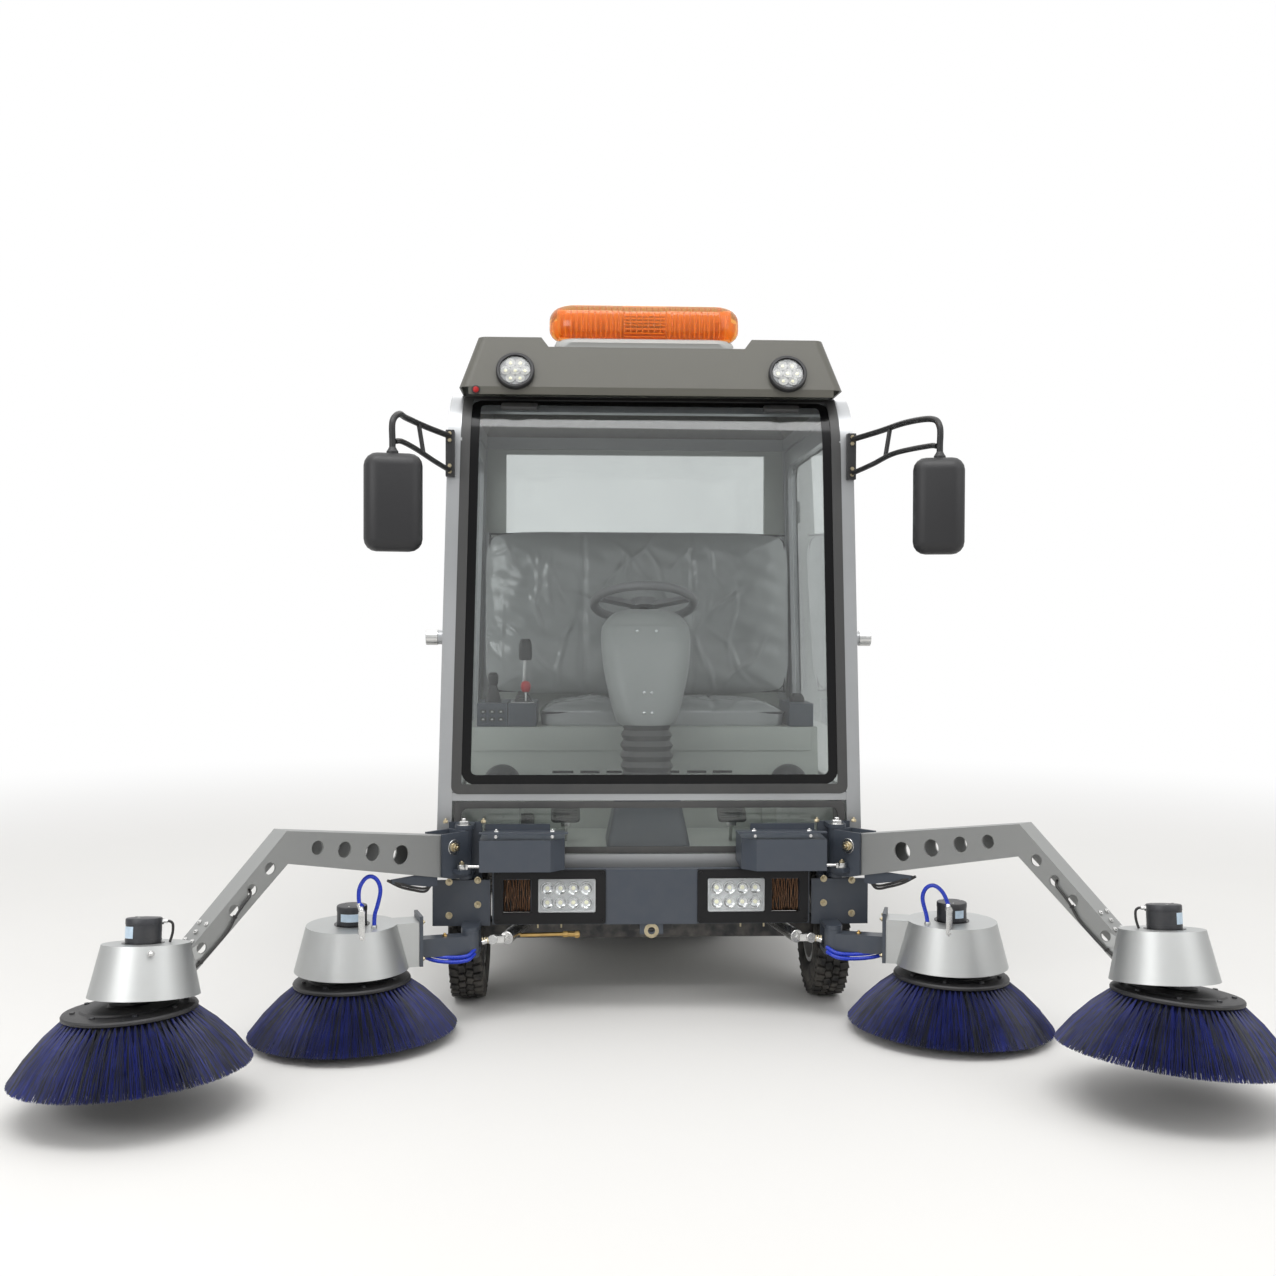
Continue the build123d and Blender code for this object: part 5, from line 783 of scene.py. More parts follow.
class SWEEPER_OT_brushes(SweeperOperator):
    """Side brushes: moulded disc, screws and fanned filaments"""
    bl_idname = "sweeper.brushes"
    bl_label = "Side brushes"

    def make(self, context):
        for where, drop, scale in (("outer", 0.137, 0.958), ("inner", 0.131, 1.0)):
            skirt = ((0.09, -0.0195), (0.146, -0.022), (0.24, -0.014 - drop), (0.2, -0.014 - drop), (0.08, -0.03))
            for number, (side, _) in enumerate(SIDES):
                body = f"{where}_brush_{side}"
                place = joint_frame(f"{body}_spin")
                disc = Form("dark_plastic", "steel", "bristle_black", "motor")
                disc.lathe([(radius * scale, height) for radius, height in DISC_PROFILE], place, 64)
                disc.lathe(((0.015, 0.004), (0.015, 0.078), (0, 0.078)), place, 24, 1)
                for angle in around(8, 0.5):
                    disc.nut(place @ polar(0.136 * scale, angle, -0.0048), place.to_3x3() @ UP, 0.011, 0.0045, 3)
                disc.lathe([(radius * scale, height) for radius, height in skirt], place, 64, 2)
                disc.done(f"{where}_disc_{side}", body, (body,))
                name = f"{where}_filaments_{side}"
                tufts = brush_filaments(name, f"{body}_spin", drop, 11 + number + 7 * (where == "inner"),
                                        context.scene.sweeper_brushes, scale)
                settled(name, tufts, ("bristle_blue", "bristle_black"), body, (body,))


# Wheels

# Depth of the tread, and numbers of blocks round each tread row and each side
TREAD_DEPTH = 0.009
TREAD_BLOCKS, SIDE_BLOCKS = 40, 60

# Side place, width and shift round the tyre of each row of tread blocks
TREAD_ROWS = ((-0.036, 0.026, 0.0), (-0.0115, 0.019, 0.5), (0.0115, 0.019, 0.0), (0.036, 0.026, 0.5))

# Radius and inset from the tyre's side, from the bead outwards
TYRE_SIDE = ((0.1035, 0.02), (0.116, 0.012), (0.12, 0.006), (0.132, 0.002), (0.15, 0), (0.168, 0.001),
             (0.17, -0.0002), (0.174, -0.0002), (0.176, 0.002))


def tyre_piece(side, end):
    """Tyre with shoulders, side ribs and staggered tread blocks."""
    centre, half_size = middle_and_half(f"tyre_{end}_{side}")
    radius, half = half_size.z, half_size.x
    base = radius - TREAD_DEPTH
    profile = [*TYRE_SIDE, (base - 0.012, 0.006), (base, 0.018)]
    form = Form("tyre")
    form.lathe([(r, inset - half) for r, inset in profile] + [(r, half - inset) for r, inset in reversed(profile)],
               axis_matrix(centre, LEFT), 72)
    for row, (x, wide, shift) in enumerate(TREAD_ROWS):
        reach = radius - TREAD_DEPTH / 2 - 0.0005 - (0.0022 if row in (0, 3) else 0)
        for angle in around(TREAD_BLOCKS, shift):
            turn = (Matrix.Rotation(angle, 4, "X") @ Matrix.Rotation(math.radians(14 if row % 2 else -14), 4, "Z"))
            form.box(centre + Vector((x, -math.sin(angle) * reach, math.cos(angle) * reach)),
                     (wide, math.tau * radius / TREAD_BLOCKS * 0.7, TREAD_DEPTH + 0.002), turn, 0.0012, segments=1)
    for angle in around(SIDE_BLOCKS):
        for sign in (-1, 1):
            reach = radius - 0.022
            form.box(centre + Vector((sign * (half - 0.0065), -math.sin(angle) * reach, math.cos(angle) * reach)),
                     (0.006, 0.012, 0.016), Matrix.Rotation(angle, 4, "X"), 0.001, segments=1)
    form.done(f"tyre_tread_{end}_{side}", f"{end}_wheel_{side}", (f"tyre_{end}_{side}",), angle=0.5)


class SWEEPER_OT_tyres(SweeperOperator):
    """Four tyres with tread blocks, and the wheel bolts"""
    bl_idname = "sweeper.tyres"
    bl_label = "Tyres and wheel bolts"

    def make(self, context):
        for end in ("front", "rear"):
            for side, sign in SIDES:
                tyre_piece(side, end)
                centre, _ = middle_and_half(f"rim_{end}_{side}")
                form = Form("steel")
                for angle in around(5):
                    point = centre + Vector((sign * 0.026, 0.058 * math.sin(angle), 0.058 * math.cos(angle)))
                    form.washer(point, (sign, 0, 0), 0.012, 0.006, 0.003)
                    form.nut(point, (sign, 0, 0), 0.017, 0.012, stud=0.005)
                form.done(f"wheel_bolts_{end}_{side}", f"{end}_wheel_{side}")


# Windscreen

# The pane's foot height, straight length and rolled top's radius; its width, its length and its half width at the
# sill; and its place behind the cab's front
PANE_FOOT, PANE_STRAIGHT, PANE_ROLL = 0.66, 1.056, 0.166
PANE_WIDTH, PANE_LENGTH, PANE_SILL_HALF = 1.202, 1.252, 0.607
PANE_BACK = 0.004


def pane_point(across, along, lift):
    """Point on the windscreen from its place across, its length up from the foot and its height off the glass."""
    back, height = PANE_BACK - lift, PANE_FOOT + along
    if along > PANE_STRAIGHT:
        angle = (along - PANE_STRAIGHT) / PANE_ROLL
        back = PANE_BACK + PANE_ROLL - (PANE_ROLL + lift) * math.cos(angle)
        height = PANE_FOOT + PANE_STRAIGHT + (PANE_ROLL + lift) * math.sin(angle)
    return at(across * leaned(PANE_SILL_HALF, height) / (PANE_WIDTH / 2), back, height)


def pane_band(form, outer, inner, thick, corner, index=0):
    """Closed band that follows the windscreen between two insets from its edge."""
    loops = []
    for inset, lift in ((outer, 0), (outer, thick), (inner, thick), (inner, 0)):
        outline = rounded_outline(PANE_WIDTH - 2 * inset, PANE_LENGTH - 2 * inset, max(corner - inset, 0.004))
        loop = []
        for k, (x, y) in enumerate(outline):
            ahead = outline[(k + 1) % len(outline)]
            pieces = 26 if k % 7 == 6 else 1
            loop += [pane_point(x + (ahead[0] - x) * j / pieces, y + (ahead[1] - y) * j / pieces + PANE_LENGTH / 2,
                                lift) for j in range(pieces)]
        loops.append(loop)
    form.skin(loops, index, joined=True)


class SWEEPER_OT_windscreen(SweeperOperator):
    """Rubber seal and printed band of the windscreen, and the frame of the foot window"""
    bl_idname = "sweeper.windscreen"
    bl_label = "Windscreen"

    def make(self, context):
        form = Form("seal", "frit")
        pane_band(form, -0.004, 0.026, 0.0052, 0.02)
        pane_band(form, 0.024, 0.054, 0.0016, 0.07, 1)
        for sign in (-1, 1):
            form.pillow((0.112, 0.024, 0.016), 0.009, 0.003,
                        axis_matrix(at(sign * 0.402, 0.052, 1.836), (0, -0.68, 0.735), LEFT))
        form.done("windscreen_band", "chassis", angle=0.5)

        form = Form("seal")
        form.plate(rounded_outline(1.192, 0.158, 0.012), front_frame(0, 0.0045, 0.554), 0.006, 0.0012,
                   holes=(hole(1.148, 0.118, 0.022),))
        form.done("foot_window_frame", "chassis")


# Lamps

def reflector_cup(form, matrix, cup, cup_steps, chip):
    """Reflector cup with its lamp chip."""
    form.lathe(cup, matrix, cup_steps, 1)
    form.lathe(chip, matrix, 14, 2)


def spot_lamp(form, matrix, radius, spots):
    """Round work lamp with a black ring, a pale disc, reflector cups and a clear pane."""
    form.lathe(((radius * 0.8, 0), (radius, 0), (radius, 0.016), (radius - 0.003, 0.0195), (radius * 0.84, 0.0195),
                (radius * 0.8, 0.013)), matrix, closed=True)
    form.lathe(((0, 0.007), (radius * 0.81, 0.007)), matrix, index=5)
    for x, y in spots:
        reflector_cup(form, moved(matrix, x, y, 0.0072),
                      ((0.0145, 0), (0.0142, 0.0042), (0.0128, 0.0042), (0.0085, 0.0006), (0.005, 0.0002)), 20,
                      ((0.005, 0.0002), (0.0045, 0.0025), (0.0025, 0.004), (0, 0.0043)))
    form.lathe(((radius * 0.805, 0.0142), (radius * 0.4, 0.0155), (0, 0.016)), matrix, index=3)


class SWEEPER_OT_roof(SweeperOperator):
    """Roof lamps, red button and the beacon with its louvres"""
    bl_idname = "sweeper.roof"
    bl_label = "Roof lamps and beacon"

    def make(self, context):
        form = Form("dark_plastic", "rim", "led_core", "lens", "red", "lamp_plate")
        spots = [(0, 0), *(polar(0.029, angle).xy for angle in around(6))]
        for sign in (-1, 1):
            spot_lamp(form, axis_matrix(at(sign * 0.413, 0.005, 1.933), (0, -0.954, 0.298), LEFT), 0.058, spots)
        button = front_frame(-0.531, -0.0095, 1.877)
        form.lathe(((0.009, 0), (0.013, 0), (0.013, 0.003), (0.0115, 0.0045), (0.009, 0.0045)), button, 28,
                   closed=True)
        form.lathe(((0.0095, 0.002), (0.009, 0.006), (0.006, 0.0095), (0, 0.011)), button, 24, 4)
        form.done("roof_lamps", "chassis", ("front_lamps",))

        middle = level_frame(-0.014, 0.225)
        form = Form("light_plastic", "amber_inner")
        form.tower(((0.552, 0.132, 0.03, 2.0165), (0.556, 0.136, 0.03, 2.022), (0.556, 0.136, 0.03, 2.04),
                    (0.57, 0.15, 0.06, 2.054), (0.56, 0.14, 0.066, 2.066), (0.54, 0.118, 0.058, 2.0695)), middle)
        for x in (-0.262 + 0.0155 * k for k in range(34)):
            if abs(x) > 0.072:
                form.box(middle @ Vector((x, -0.032, 2.115)), (0.0035, 0.03, 0.062), bevel=0.0006, index=1, segments=1)
        for sign in (-1, 1):
            form.box(middle @ Vector((sign * 0.165, -0.006, 2.115)), (0.19, 0.012, 0.072), index=1)
            form.rod(middle @ Vector((sign * 0.245, 0, 2.066)), middle @ Vector((sign * 0.245, 0, 2.13)), 0.026, 24, 1)
        for k in range(7):
            form.box(middle @ Vector((0, -0.03, 2.088 + 0.009 * k)), (0.13, 0.028, 0.003), bevel=0.0006, index=1,
                     segments=1)
        form.box(middle @ Vector((0, 0, 2.113)), (0.14, 0.02, 0.074), bevel=0.003, index=1)
        form.box(middle @ Vector((0, 0, 2.068)), (0.54, 0.1, 0.01), index=1)
        form.done("beacon_inside", "chassis", ("beacon_bar",))

        form = Form("amber")
        levels = [(0.042 * (1 - math.sin(angle)), 2.0698 + 0.036 * (1 - math.cos(angle)))
                  for angle in (math.pi / 2 * k / 5 for k in range(6))]
        levels += [(0.052 * (1 - math.cos(angle)), 2.1795 - 0.046 * (1 - math.sin(angle)))
                   for angle in (math.pi / 2 * k / 7 for k in range(8))]
        form.tower([(0.603 - 2 * inset, 0.17 - 2 * inset, 0.083 - inset, height) for inset, height in levels], middle,
                   steps=10)
        for k in range(26):
            for y in (-0.0846, 0.0846):
                form.box(middle @ Vector((-0.232 + 0.0186 * k, y, 2.118)), (0.0045, 0.002, 0.066), bevel=0.0009,
                         segments=1)
        form.done("beacon_dome", "chassis", ("beacon_bar",), angle=0.9)


class SWEEPER_OT_lamps(SweeperOperator):
    """Black lamp housings in the bumper with lens panels and copper-finned bays"""
    bl_idname = "sweeper.lamps"
    bl_label = "Bumper lamps"

    def make(self, context):
        panel_outline = rounded_outline(0.17, 0.099, 0.005)
        for side, sign in SIDES:
            lamp_x, bay_x, y = -sign * 0.0505, sign * 0.098, 0.0035
            form = Form("lamp_black", "led", "led_core", "lens", "copper", "lamp_panel")
            face = front_frame(sign * 0.3035, -0.0795, 0.3605)
            form.plate(rounded_outline(0.332, 0.16, 0.008), face, 0.013, 0.002,
                       holes=(hole(0.172, 0.101, 0.006, lamp_x, y), hole(0.086, 0.101, 0.005, bay_x, y)))
            panel = moved(face, lamp_x, y, -0.004)
            form.plate(panel_outline, panel, 0.006, index=5)
            form.plate(panel_outline, moved(panel, 0, 0, 0.0135), 0.002, 0.0006, 3)
            form.plate(panel_outline, moved(panel, 0, 0, 0.006), 0.008, index=5, holes=(hole(0.16, 0.089, 0.004),))
            for row in (-0.0212, 0.0212):
                for column in (-1.5, -0.5, 0.5, 1.5):
                    reflector_cup(form, moved(panel, column * 0.0385, row, 0.0062),
                                  ((0.0192, 0), (0.0188, 0.0058), (0.0172, 0.0058), (0.012, 0.0012),
                                   (0.0062, 0.0004)), 24,
                                  ((0.0062, 0.0004), (0.006, 0.002), (0.0035, 0.0035), (0, 0.004)))
            back = moved(face, bay_x, y, -0.012)
            form.plate(rounded_outline(0.088, 0.103, 0.005), back, 0.004, 0.0006)
            rng = random.Random(5)
            for k in range(15):
                form.tube([back @ Vector((-0.0385 + 0.0055 * k + rng.uniform(-0.0018, 0.0018), -0.048 + 0.016 * j,
                                          0.009 + rng.uniform(-0.003, 0.003))) for j in range(7)], 0.0017, 6, 4, 3)
            for x in (-0.157, 0.157):
                for y in (-0.071, 0.071):
                    form.nut(face @ Vector((x, y, 0.013)), FRONT, 0.008, 0.003)
            form.done(f"bumper_lamps_{side}", "chassis", ("front_lamps",))


# Mirrors and fixings

class SWEEPER_OT_mirrors(SweeperOperator):
    """Rounded mirror heads on twin bent tubes with bolted brackets"""
    bl_idname = "sweeper.mirrors"
    bl_label = "Mirrors"

    def make(self, context):
        for side, sign in SIDES:
            place = on_side(sign)
            form = Form("dark_plastic", "zinc", "mirror", "cable")
            x, wide = (0.756, 0.138) if sign > 0 else (0.716, 0.155)
            shell = Matrix.Translation(place(x, -0.475, 1.4985)) @ Matrix.Rotation(math.radians(-14 * sign), 4, "Z")
            form.pillow((wide, 0.088, 0.262), 0.036, 0.034, shell)
            form.pillow((wide - 0.022, 0.226, 0.006), 0.03, 0.0024,
                        moved(shell, 0, 0.0435, 0) @ Matrix.Rotation(math.radians(-90), 4, "X"), 2)
            form.box(place(0.607, -0.014, 1.684), (0.026, 0.03, 0.14), bevel=0.003)
            for height in (1.742, 1.722, 1.646, 1.628):
                form.nut(place(0.607, -0.029, height), FRONT, 0.011, 0.006, 1)
            x += 0.002
            form.tube((place(0.607, -0.02, 1.735), place(0.66, -0.16, 1.742), place(0.7, -0.33, 1.745),
                       place(x - 0.012, -0.43, 1.741), place(x, -0.472, 1.715), place(x, -0.475, 1.66),
                       place(x, -0.475, 1.62)), 0.0088, 14, 3, 8)
            form.tube((place(0.607, -0.02, 1.632), place(0.64, -0.16, 1.645), place(0.675, -0.3, 1.662),
                       place(x - 0.018, -0.42, 1.668), place(x - 0.004, -0.462, 1.663)), 0.0076, 14, 3, 8)
            form.tube((place(0.676, -0.235, 1.742), place(0.662, -0.235, 1.655)), 0.0065, 12, 3)
            form.lathe(((0.016, -0.012), (0.016, 0.004), (0.012, 0.01), (0.009, 0.016)),
                       axis_matrix(place(x, -0.475, 1.63), UP), 24)
            form.done(f"mirror_{side}", "chassis", ("mirrors",), angle=0.5)


class SWEEPER_OT_fixings(SweeperOperator):
    """Bolts, screws and washers of the bumper, arm mounts and actuators"""
    bl_idname = "sweeper.fixings"
    bl_label = "Fixings"

    def make(self, context):
        form = Form("zinc", "steel", "slate")
        for sign in (-1, 1):
            place = on_side(sign)
            for x, height in ((0.603, 0.405), (0.518, 0.41), (0.518, 0.337), (0.603, 0.305)):
                form.washer(place(x, -0.0798, height), FRONT, 0.0105, 0.005, 0.0022)
                form.nut(place(x, -0.082, height), FRONT, 0.0125, 0.007, stud=0.004)
            for x in (0.295, 0.458):
                form.nut(place(x, -0.172, 0.566), UP, 0.012, 0.006, 1, 0.0035)
                form.nut(place(x, -0.1995, 0.558), FRONT, 0.009, 0.003, 1)
            form.box(place(0.378, -0.186, 0.567), (0.258, 0.024, 0.0035), bevel=0.001, index=2)
            form.nut(place(0.56, -0.06, 0.5725), UP, 0.026, 0.012, 1, 0.008)
            form.washer(place(0.56, -0.06, 0.5715), UP, 0.022, 0.008, 0.002, 1)
            for x in (0.505, 0.618):
                form.nut(place(x, -0.03, 0.5735), UP, 0.014, 0.008, stud=0.004)
        form.lathe(((0.022, 0), (0.022, 0.01), (0.018, 0.0115), (0.011, 0.0115), (0.011, 0)),
                   front_frame(0, -0.07, 0.256), 32, closed=True)
        form.done("body_fixings", "chassis")
        for side, sign in SIDES:
            form = Form("steel", "zinc")
            lift = joint_frame(f"outer_lift_{side}")
            for axis in (lift.to_3x3() @ -UP, lift.to_3x3() @ UP):
                place = lift.translation + axis * 0.0403
                form.washer(place, axis, 0.0225, 0.009, 0.003)
                form.washer(place + axis * 0.003, axis, 0.0135, 0.009, 0.0025, 1)
                form.nut(place + axis * 0.0055, axis, 0.02, 0.009, 1, 0.0055)
            form.done(f"lift_bolt_{side}", f"outer_bracket_{side}")
            form = Form("steel", "zinc")
            eye = at(sign * 0.56, -0.145, 0.462)
            form.box(eye - Vector((sign * 0.0085, 0, 0)), (0.019, 0.017, 0.016), bevel=0.003)
            form.lathe(((0.014, -0.0075), (0.0145, -0.006), (0.0145, 0.006), (0.014, 0.0075), (0, 0.0075)),
                       axis_matrix(eye, UP), 28)
            form.nut(eye + UP * 0.0075, UP, 0.014, 0.006, 1, 0.004)
            form.done(f"rod_clevis_{side}", f"outer_rod_{side}")


# Brush arms

def blank_sticker(form, matrix, radius, middle, sweep, low, high, index):
    """Blank sticker on a round side, centred on a direction about the frame's Z."""
    form.skin([[matrix @ polar(reach, middle + sweep * (k / 8 - 0.5), height) for reach, height in
                ((radius - 0.001, low), (radius + 0.0004, low), (radius + 0.0004, high), (radius - 0.001, high))]
               for k in range(9)], index)


def motor_details(form, base, tall, facing, sweep, cable_way):
    """Seams, cap screws, a black ring of painted shade at the base gap, sticker, gland and cable of a brush motor
    standing on a cover.
    """
    # Thin black ring on the cover round the motor's foot: painted shade standing in for the gap at its base
    form.lathe(((0.0424, 0.0003), (0.05, 0.0003), (0.05, 0.0012), (0.0424, 0.0012)), base, index=1, closed=True)
    form.lathe(((0.0412, tall - 0.013), (0.0429, tall - 0.0124), (0.0429, tall - 0.0012), (0.0416, tall + 0.0012),
                (0.0395, tall + 0.0022), (0, tall + 0.0024)), base, 56)
    form.lathe(((0.0412, 0.006), (0.0426, 0.0066), (0.0426, 0.01), (0.0412, 0.0106)), base, 56)
    turn = base.to_3x3()
    for angle in around(3):
        form.nut(base @ polar(0.03, angle + 0.4, tall + 0.0022), turn @ UP, 0.006, 0.0016, 2)
    blank_sticker(form, base, 0.0424, facing, sweep, 0.013, tall - 0.017, 3)

    def out(radius, height=tall - 0.008):
        return base @ polar(radius, cable_way, height)

    form.rod(out(0.0405), out(0.0545), 0.0048, 16, 2)
    form.nut(out(0.042), turn @ polar(1, cable_way), 0.013, 0.004, 2)
    form.tube((out(0.053), out(0.06, tall - 0.0085), out(0.0665, tall - 0.016), out(0.0665, 0.022), out(0.061, 0)),
              0.0032, 10, 4, 8)


# Half width of an outer beam, and the reach from which and the length over which it rises to its head
ARM_HALF_WIDTH, ARM_START, ARM_LENGTH = 0.03, 0.075, 0.987

# Reach, height and distance off the beam's front face of the cable's points
ARM_CABLE = ((0.744, 0.49, -0.012), (0.752, 0.478, 0.004), (0.775, 0.455, 0.006), (0.796, 0.43, 0.006),
             (0.815, 0.4, 0.005), (0.85, 0.367, 0.005), (0.888, 0.336, 0.005), (0.912, 0.318, 0.004),
             (0.932, 0.296, 0.002))

# Reach and distance off the front face of the screws on the beam's sloping end
ARM_SCREWS = ((0.866, -0.012), (0.866, -0.044), (0.886, -0.028), (0.906, -0.012), (0.906, -0.044))


def outer_arm_point(side, reach, height, off=0.0):
    """Point on an outer arm from its reach, its height on the level arm and its distance off the front face."""
    swing = joint_place(f"outer_swing_{side}")
    ahead = (joint_place(f"outer_lift_{side}") - swing) * Vector((1, 1, 0))
    ahead.normalize()
    across = Vector((ahead.y, -ahead.x, 0)) * dict(SIDES)[side]
    heads = {name: joint_place(f"outer_brush_{name}_spin").z for name, _ in SIDES}
    point = swing + ahead * reach + across * (ARM_HALF_WIDTH + off)
    point.z = height + (heads[side] - min(heads.values())) * (reach - ARM_START) / ARM_LENGTH
    return point


class SWEEPER_OT_outer_heads(SweeperOperator):
    """Motor details, cables, ties and screws on the outer arms"""
    bl_idname = "sweeper.outer_heads"
    bl_label = "Outer arm details"

    def make(self, context):
        tilt = math.radians(8)
        for side, sign in SIDES:
            body = f"outer_arm_{side}"
            motor, _ = middle_and_half(f"outer_motor_{side}")
            axis = Vector((0, math.sin(tilt), math.cos(tilt)))
            form = Form("motor", "frit", "steel", "sticker", "cable")
            motor_details(form, axis_matrix(motor - axis * 0.029, axis, LEFT), 0.058,
                          -math.pi / 2 + (0.75 if sign > 0 else -0.72), 0.8, (math.pi if sign > 0 else 0) - sign * 0.25)
            form.done(f"motor_details_{side}", body)

            form = Form("steel", "cable", "slate")
            point = partial(outer_arm_point, side)
            form.tube([point(*spot) for spot in ARM_CABLE], 0.0034, 10, 1, 8)
            for reach, height in ((0.796, 0.43), (0.893, 0.332)):
                tie = axis_matrix(point(reach, height, 0.004),
                                  point(reach + 0.02, height - 0.02) - point(reach, height))
                form.lathe(((0.0042, -0.0016), (0.0062, -0.0016), (0.0062, 0.0016), (0.0042, 0.0016)), tie, 14, 1,
                           closed=True)
                form.tube((point(reach, height, 0.009), point(reach + 0.006, height + 0.004, 0.013),
                           point(reach + 0.014, height + 0.002, 0.019)), 0.0011, 6, 1, 4)
            form.skin([[point(reach, height, off) for reach, height in
                        ((0.125, 0.452), (0.29, 0.452), (0.29, 0.44), (0.15, 0.412), (0.125, 0.412))]
                       for off in (-0.004, -0.01)], 2)
            for drop in (0, 0.008):
                form.tube((point(0.3, 0.45, -0.012), point(0.262, 0.436 - drop, -0.004),
                           point(0.215, 0.42 - drop, -0.002), point(0.165, 0.41 - drop, -0.006),
                           point(0.13, 0.432, -0.014)), 0.0038, 8, 1, 6)
            ahead = (point(1, 0) - point(0.9, 0)).normalized()
            for reach, off in ARM_SCREWS:
                form.nut(point(reach, 0.63 - (reach - 0.639) * 0.9283, off), (UP * 0.733 + ahead * 0.68).normalized(),
                         0.012, 0.0045, stud=0.003)
            centre = joint_place(f"outer_brush_{side}_spin") - Vector((sign * 0.036, 0, 0))
            for angle in (-1.15, 1.9) if sign < 0 else (1.9,):
                way = Vector((-sign * math.cos(angle), math.sin(angle), 0))
                place = centre + way * 0.1085
                place.z = motor.z - 0.043 - way.y * 0.014
                form.washer(place, way + UP * 0.24, 0.0085, 0.003, 0.0016)
                form.lathe(((0.006, 0.001), (0.0055, 0.004), (0.003, 0.0062), (0, 0.0066)),
                           axis_matrix(place, way + UP * 0.24), 18)
            form.done(f"arm_details_{side}", body)


# Side, distance behind the cab's front and height of the points of each hose loop and lower hose
HOSE_ROUTES = {
    "right": (
        ((-0.816, -0.352, 0.391), (-0.8264, -0.345, 0.4015), (-0.8264, -0.343, 0.4372), (-0.8133, -0.335, 0.4628),
         (-0.796, -0.327, 0.4695), (-0.7796, -0.318, 0.4555), (-0.7729, -0.31, 0.4257), (-0.7818, -0.303, 0.384),
         (-0.7901, -0.3, 0.3556), (-0.792, -0.299, 0.316)),
        ((-0.7, -0.196, 0.246), (-0.672, -0.196, 0.232), (-0.655, -0.197, 0.208), (-0.604, -0.198, 0.1965),
         (-0.543, -0.196, 0.199), (-0.52, -0.17, 0.212)),
    ),
    "left": (
        ((0.822, -0.352, 0.374), (0.824, -0.345, 0.388), (0.8094, -0.338, 0.4206), (0.7884, -0.325, 0.4356),
         (0.7684, -0.315, 0.4248), (0.762, -0.305, 0.3933), (0.7752, -0.3, 0.3429), (0.778, -0.299, 0.316)),
        ((0.705, -0.196, 0.24), (0.679, -0.197, 0.226), (0.664, -0.198, 0.206), (0.603, -0.198, 0.197),
         (0.542, -0.197, 0.2), (0.512, -0.172, 0.212)),
    ),
}


class SWEEPER_OT_inner_heads(SweeperOperator):
    """Motor details, water hoses, fittings and screws on the inner arms"""
    bl_idname = "sweeper.inner_heads"
    bl_label = "Inner arm details"

    def make(self, context):
        for side, sign in SIDES:
            body = f"inner_arm_{side}"
            motor, half = middle_and_half(f"inner_motor_{side}")
            form = Form("motor", "frit", "steel", "sticker", "cable")
            motor_details(form, axis_matrix(motor - UP * half.z, UP, LEFT), 2 * half.z,
                          -math.pi / 2 + (0.3 if sign > 0 else 0), 0.66 if sign > 0 else 1.3, math.pi / 2 - sign * 0.3)
            form.done(f"inner_motor_details_{side}", body)

            form = Form("hose", "steel", "zinc", "cover", "brass")
            loop, under = [[at(*point) for point in route] for route in HOSE_ROUTES[side]]
            form.tube(loop, 0.0058, 14, steps=8)
            form.tube(under, 0.0056, 14, steps=8)
            form.tube([point + Vector((0, 0.004, 0.012 if k else 0)) for k, point in enumerate(under)], 0.0056, 14,
                      steps=8)
            top = loop[0]
            form.plate(rounded_outline(0.018, 0.088, 0.008), front_frame(top.x, top.y - CAB_FRONT - 0.0145, 0.34),
                       0.0028, 0.0006, 1)
            form.washer(at(top.x, -0.3665, 0.306), FRONT, 0.0075, 0.003, 0.0016, 1)
            form.nut(at(top.x, -0.3675, 0.306), FRONT, 0.0105, 0.005, 1)
            form.rod(at(top.x, -0.371, 0.374), at(top.x, -0.348, 0.374), 0.0072, index=1)
            form.nut(at(top.x, -0.3665, 0.374), FRONT, 0.0165, 0.006, 1)
            form.rod(at(top.x, -0.354, 0.372), loop[1] - UP * 0.004, 0.0076, index=1)
            form.lathe(((0.0074, -0.002), (0.0084, 0), (0.0084, 0.006), (0.0066, 0.009)),
                       axis_matrix(loop[-1] + UP * 0.002, UP), 20, 3)
            swing = joint_place(f"inner_swing_{side}") * Vector((1, 1, 0))
            ahead = (joint_place(f"inner_brush_{side}_spin") * Vector((1, 1, 0)) - swing).normalized()
            across = Vector((-ahead.y, ahead.x, 0))
            for off in (-0.032, 0.032):
                for height in (0.212, 0.318):
                    form.nut(swing + ahead * 0.1475 + across * off + UP * height, -ahead, 0.012, 0.006, 2, 0.0035)
            form.nut(swing + ahead * 0.075 + UP * 0.2625, UP, 0.013, 0.007, 4, 0.004)
            form.done(f"inner_hoses_{side}", body)


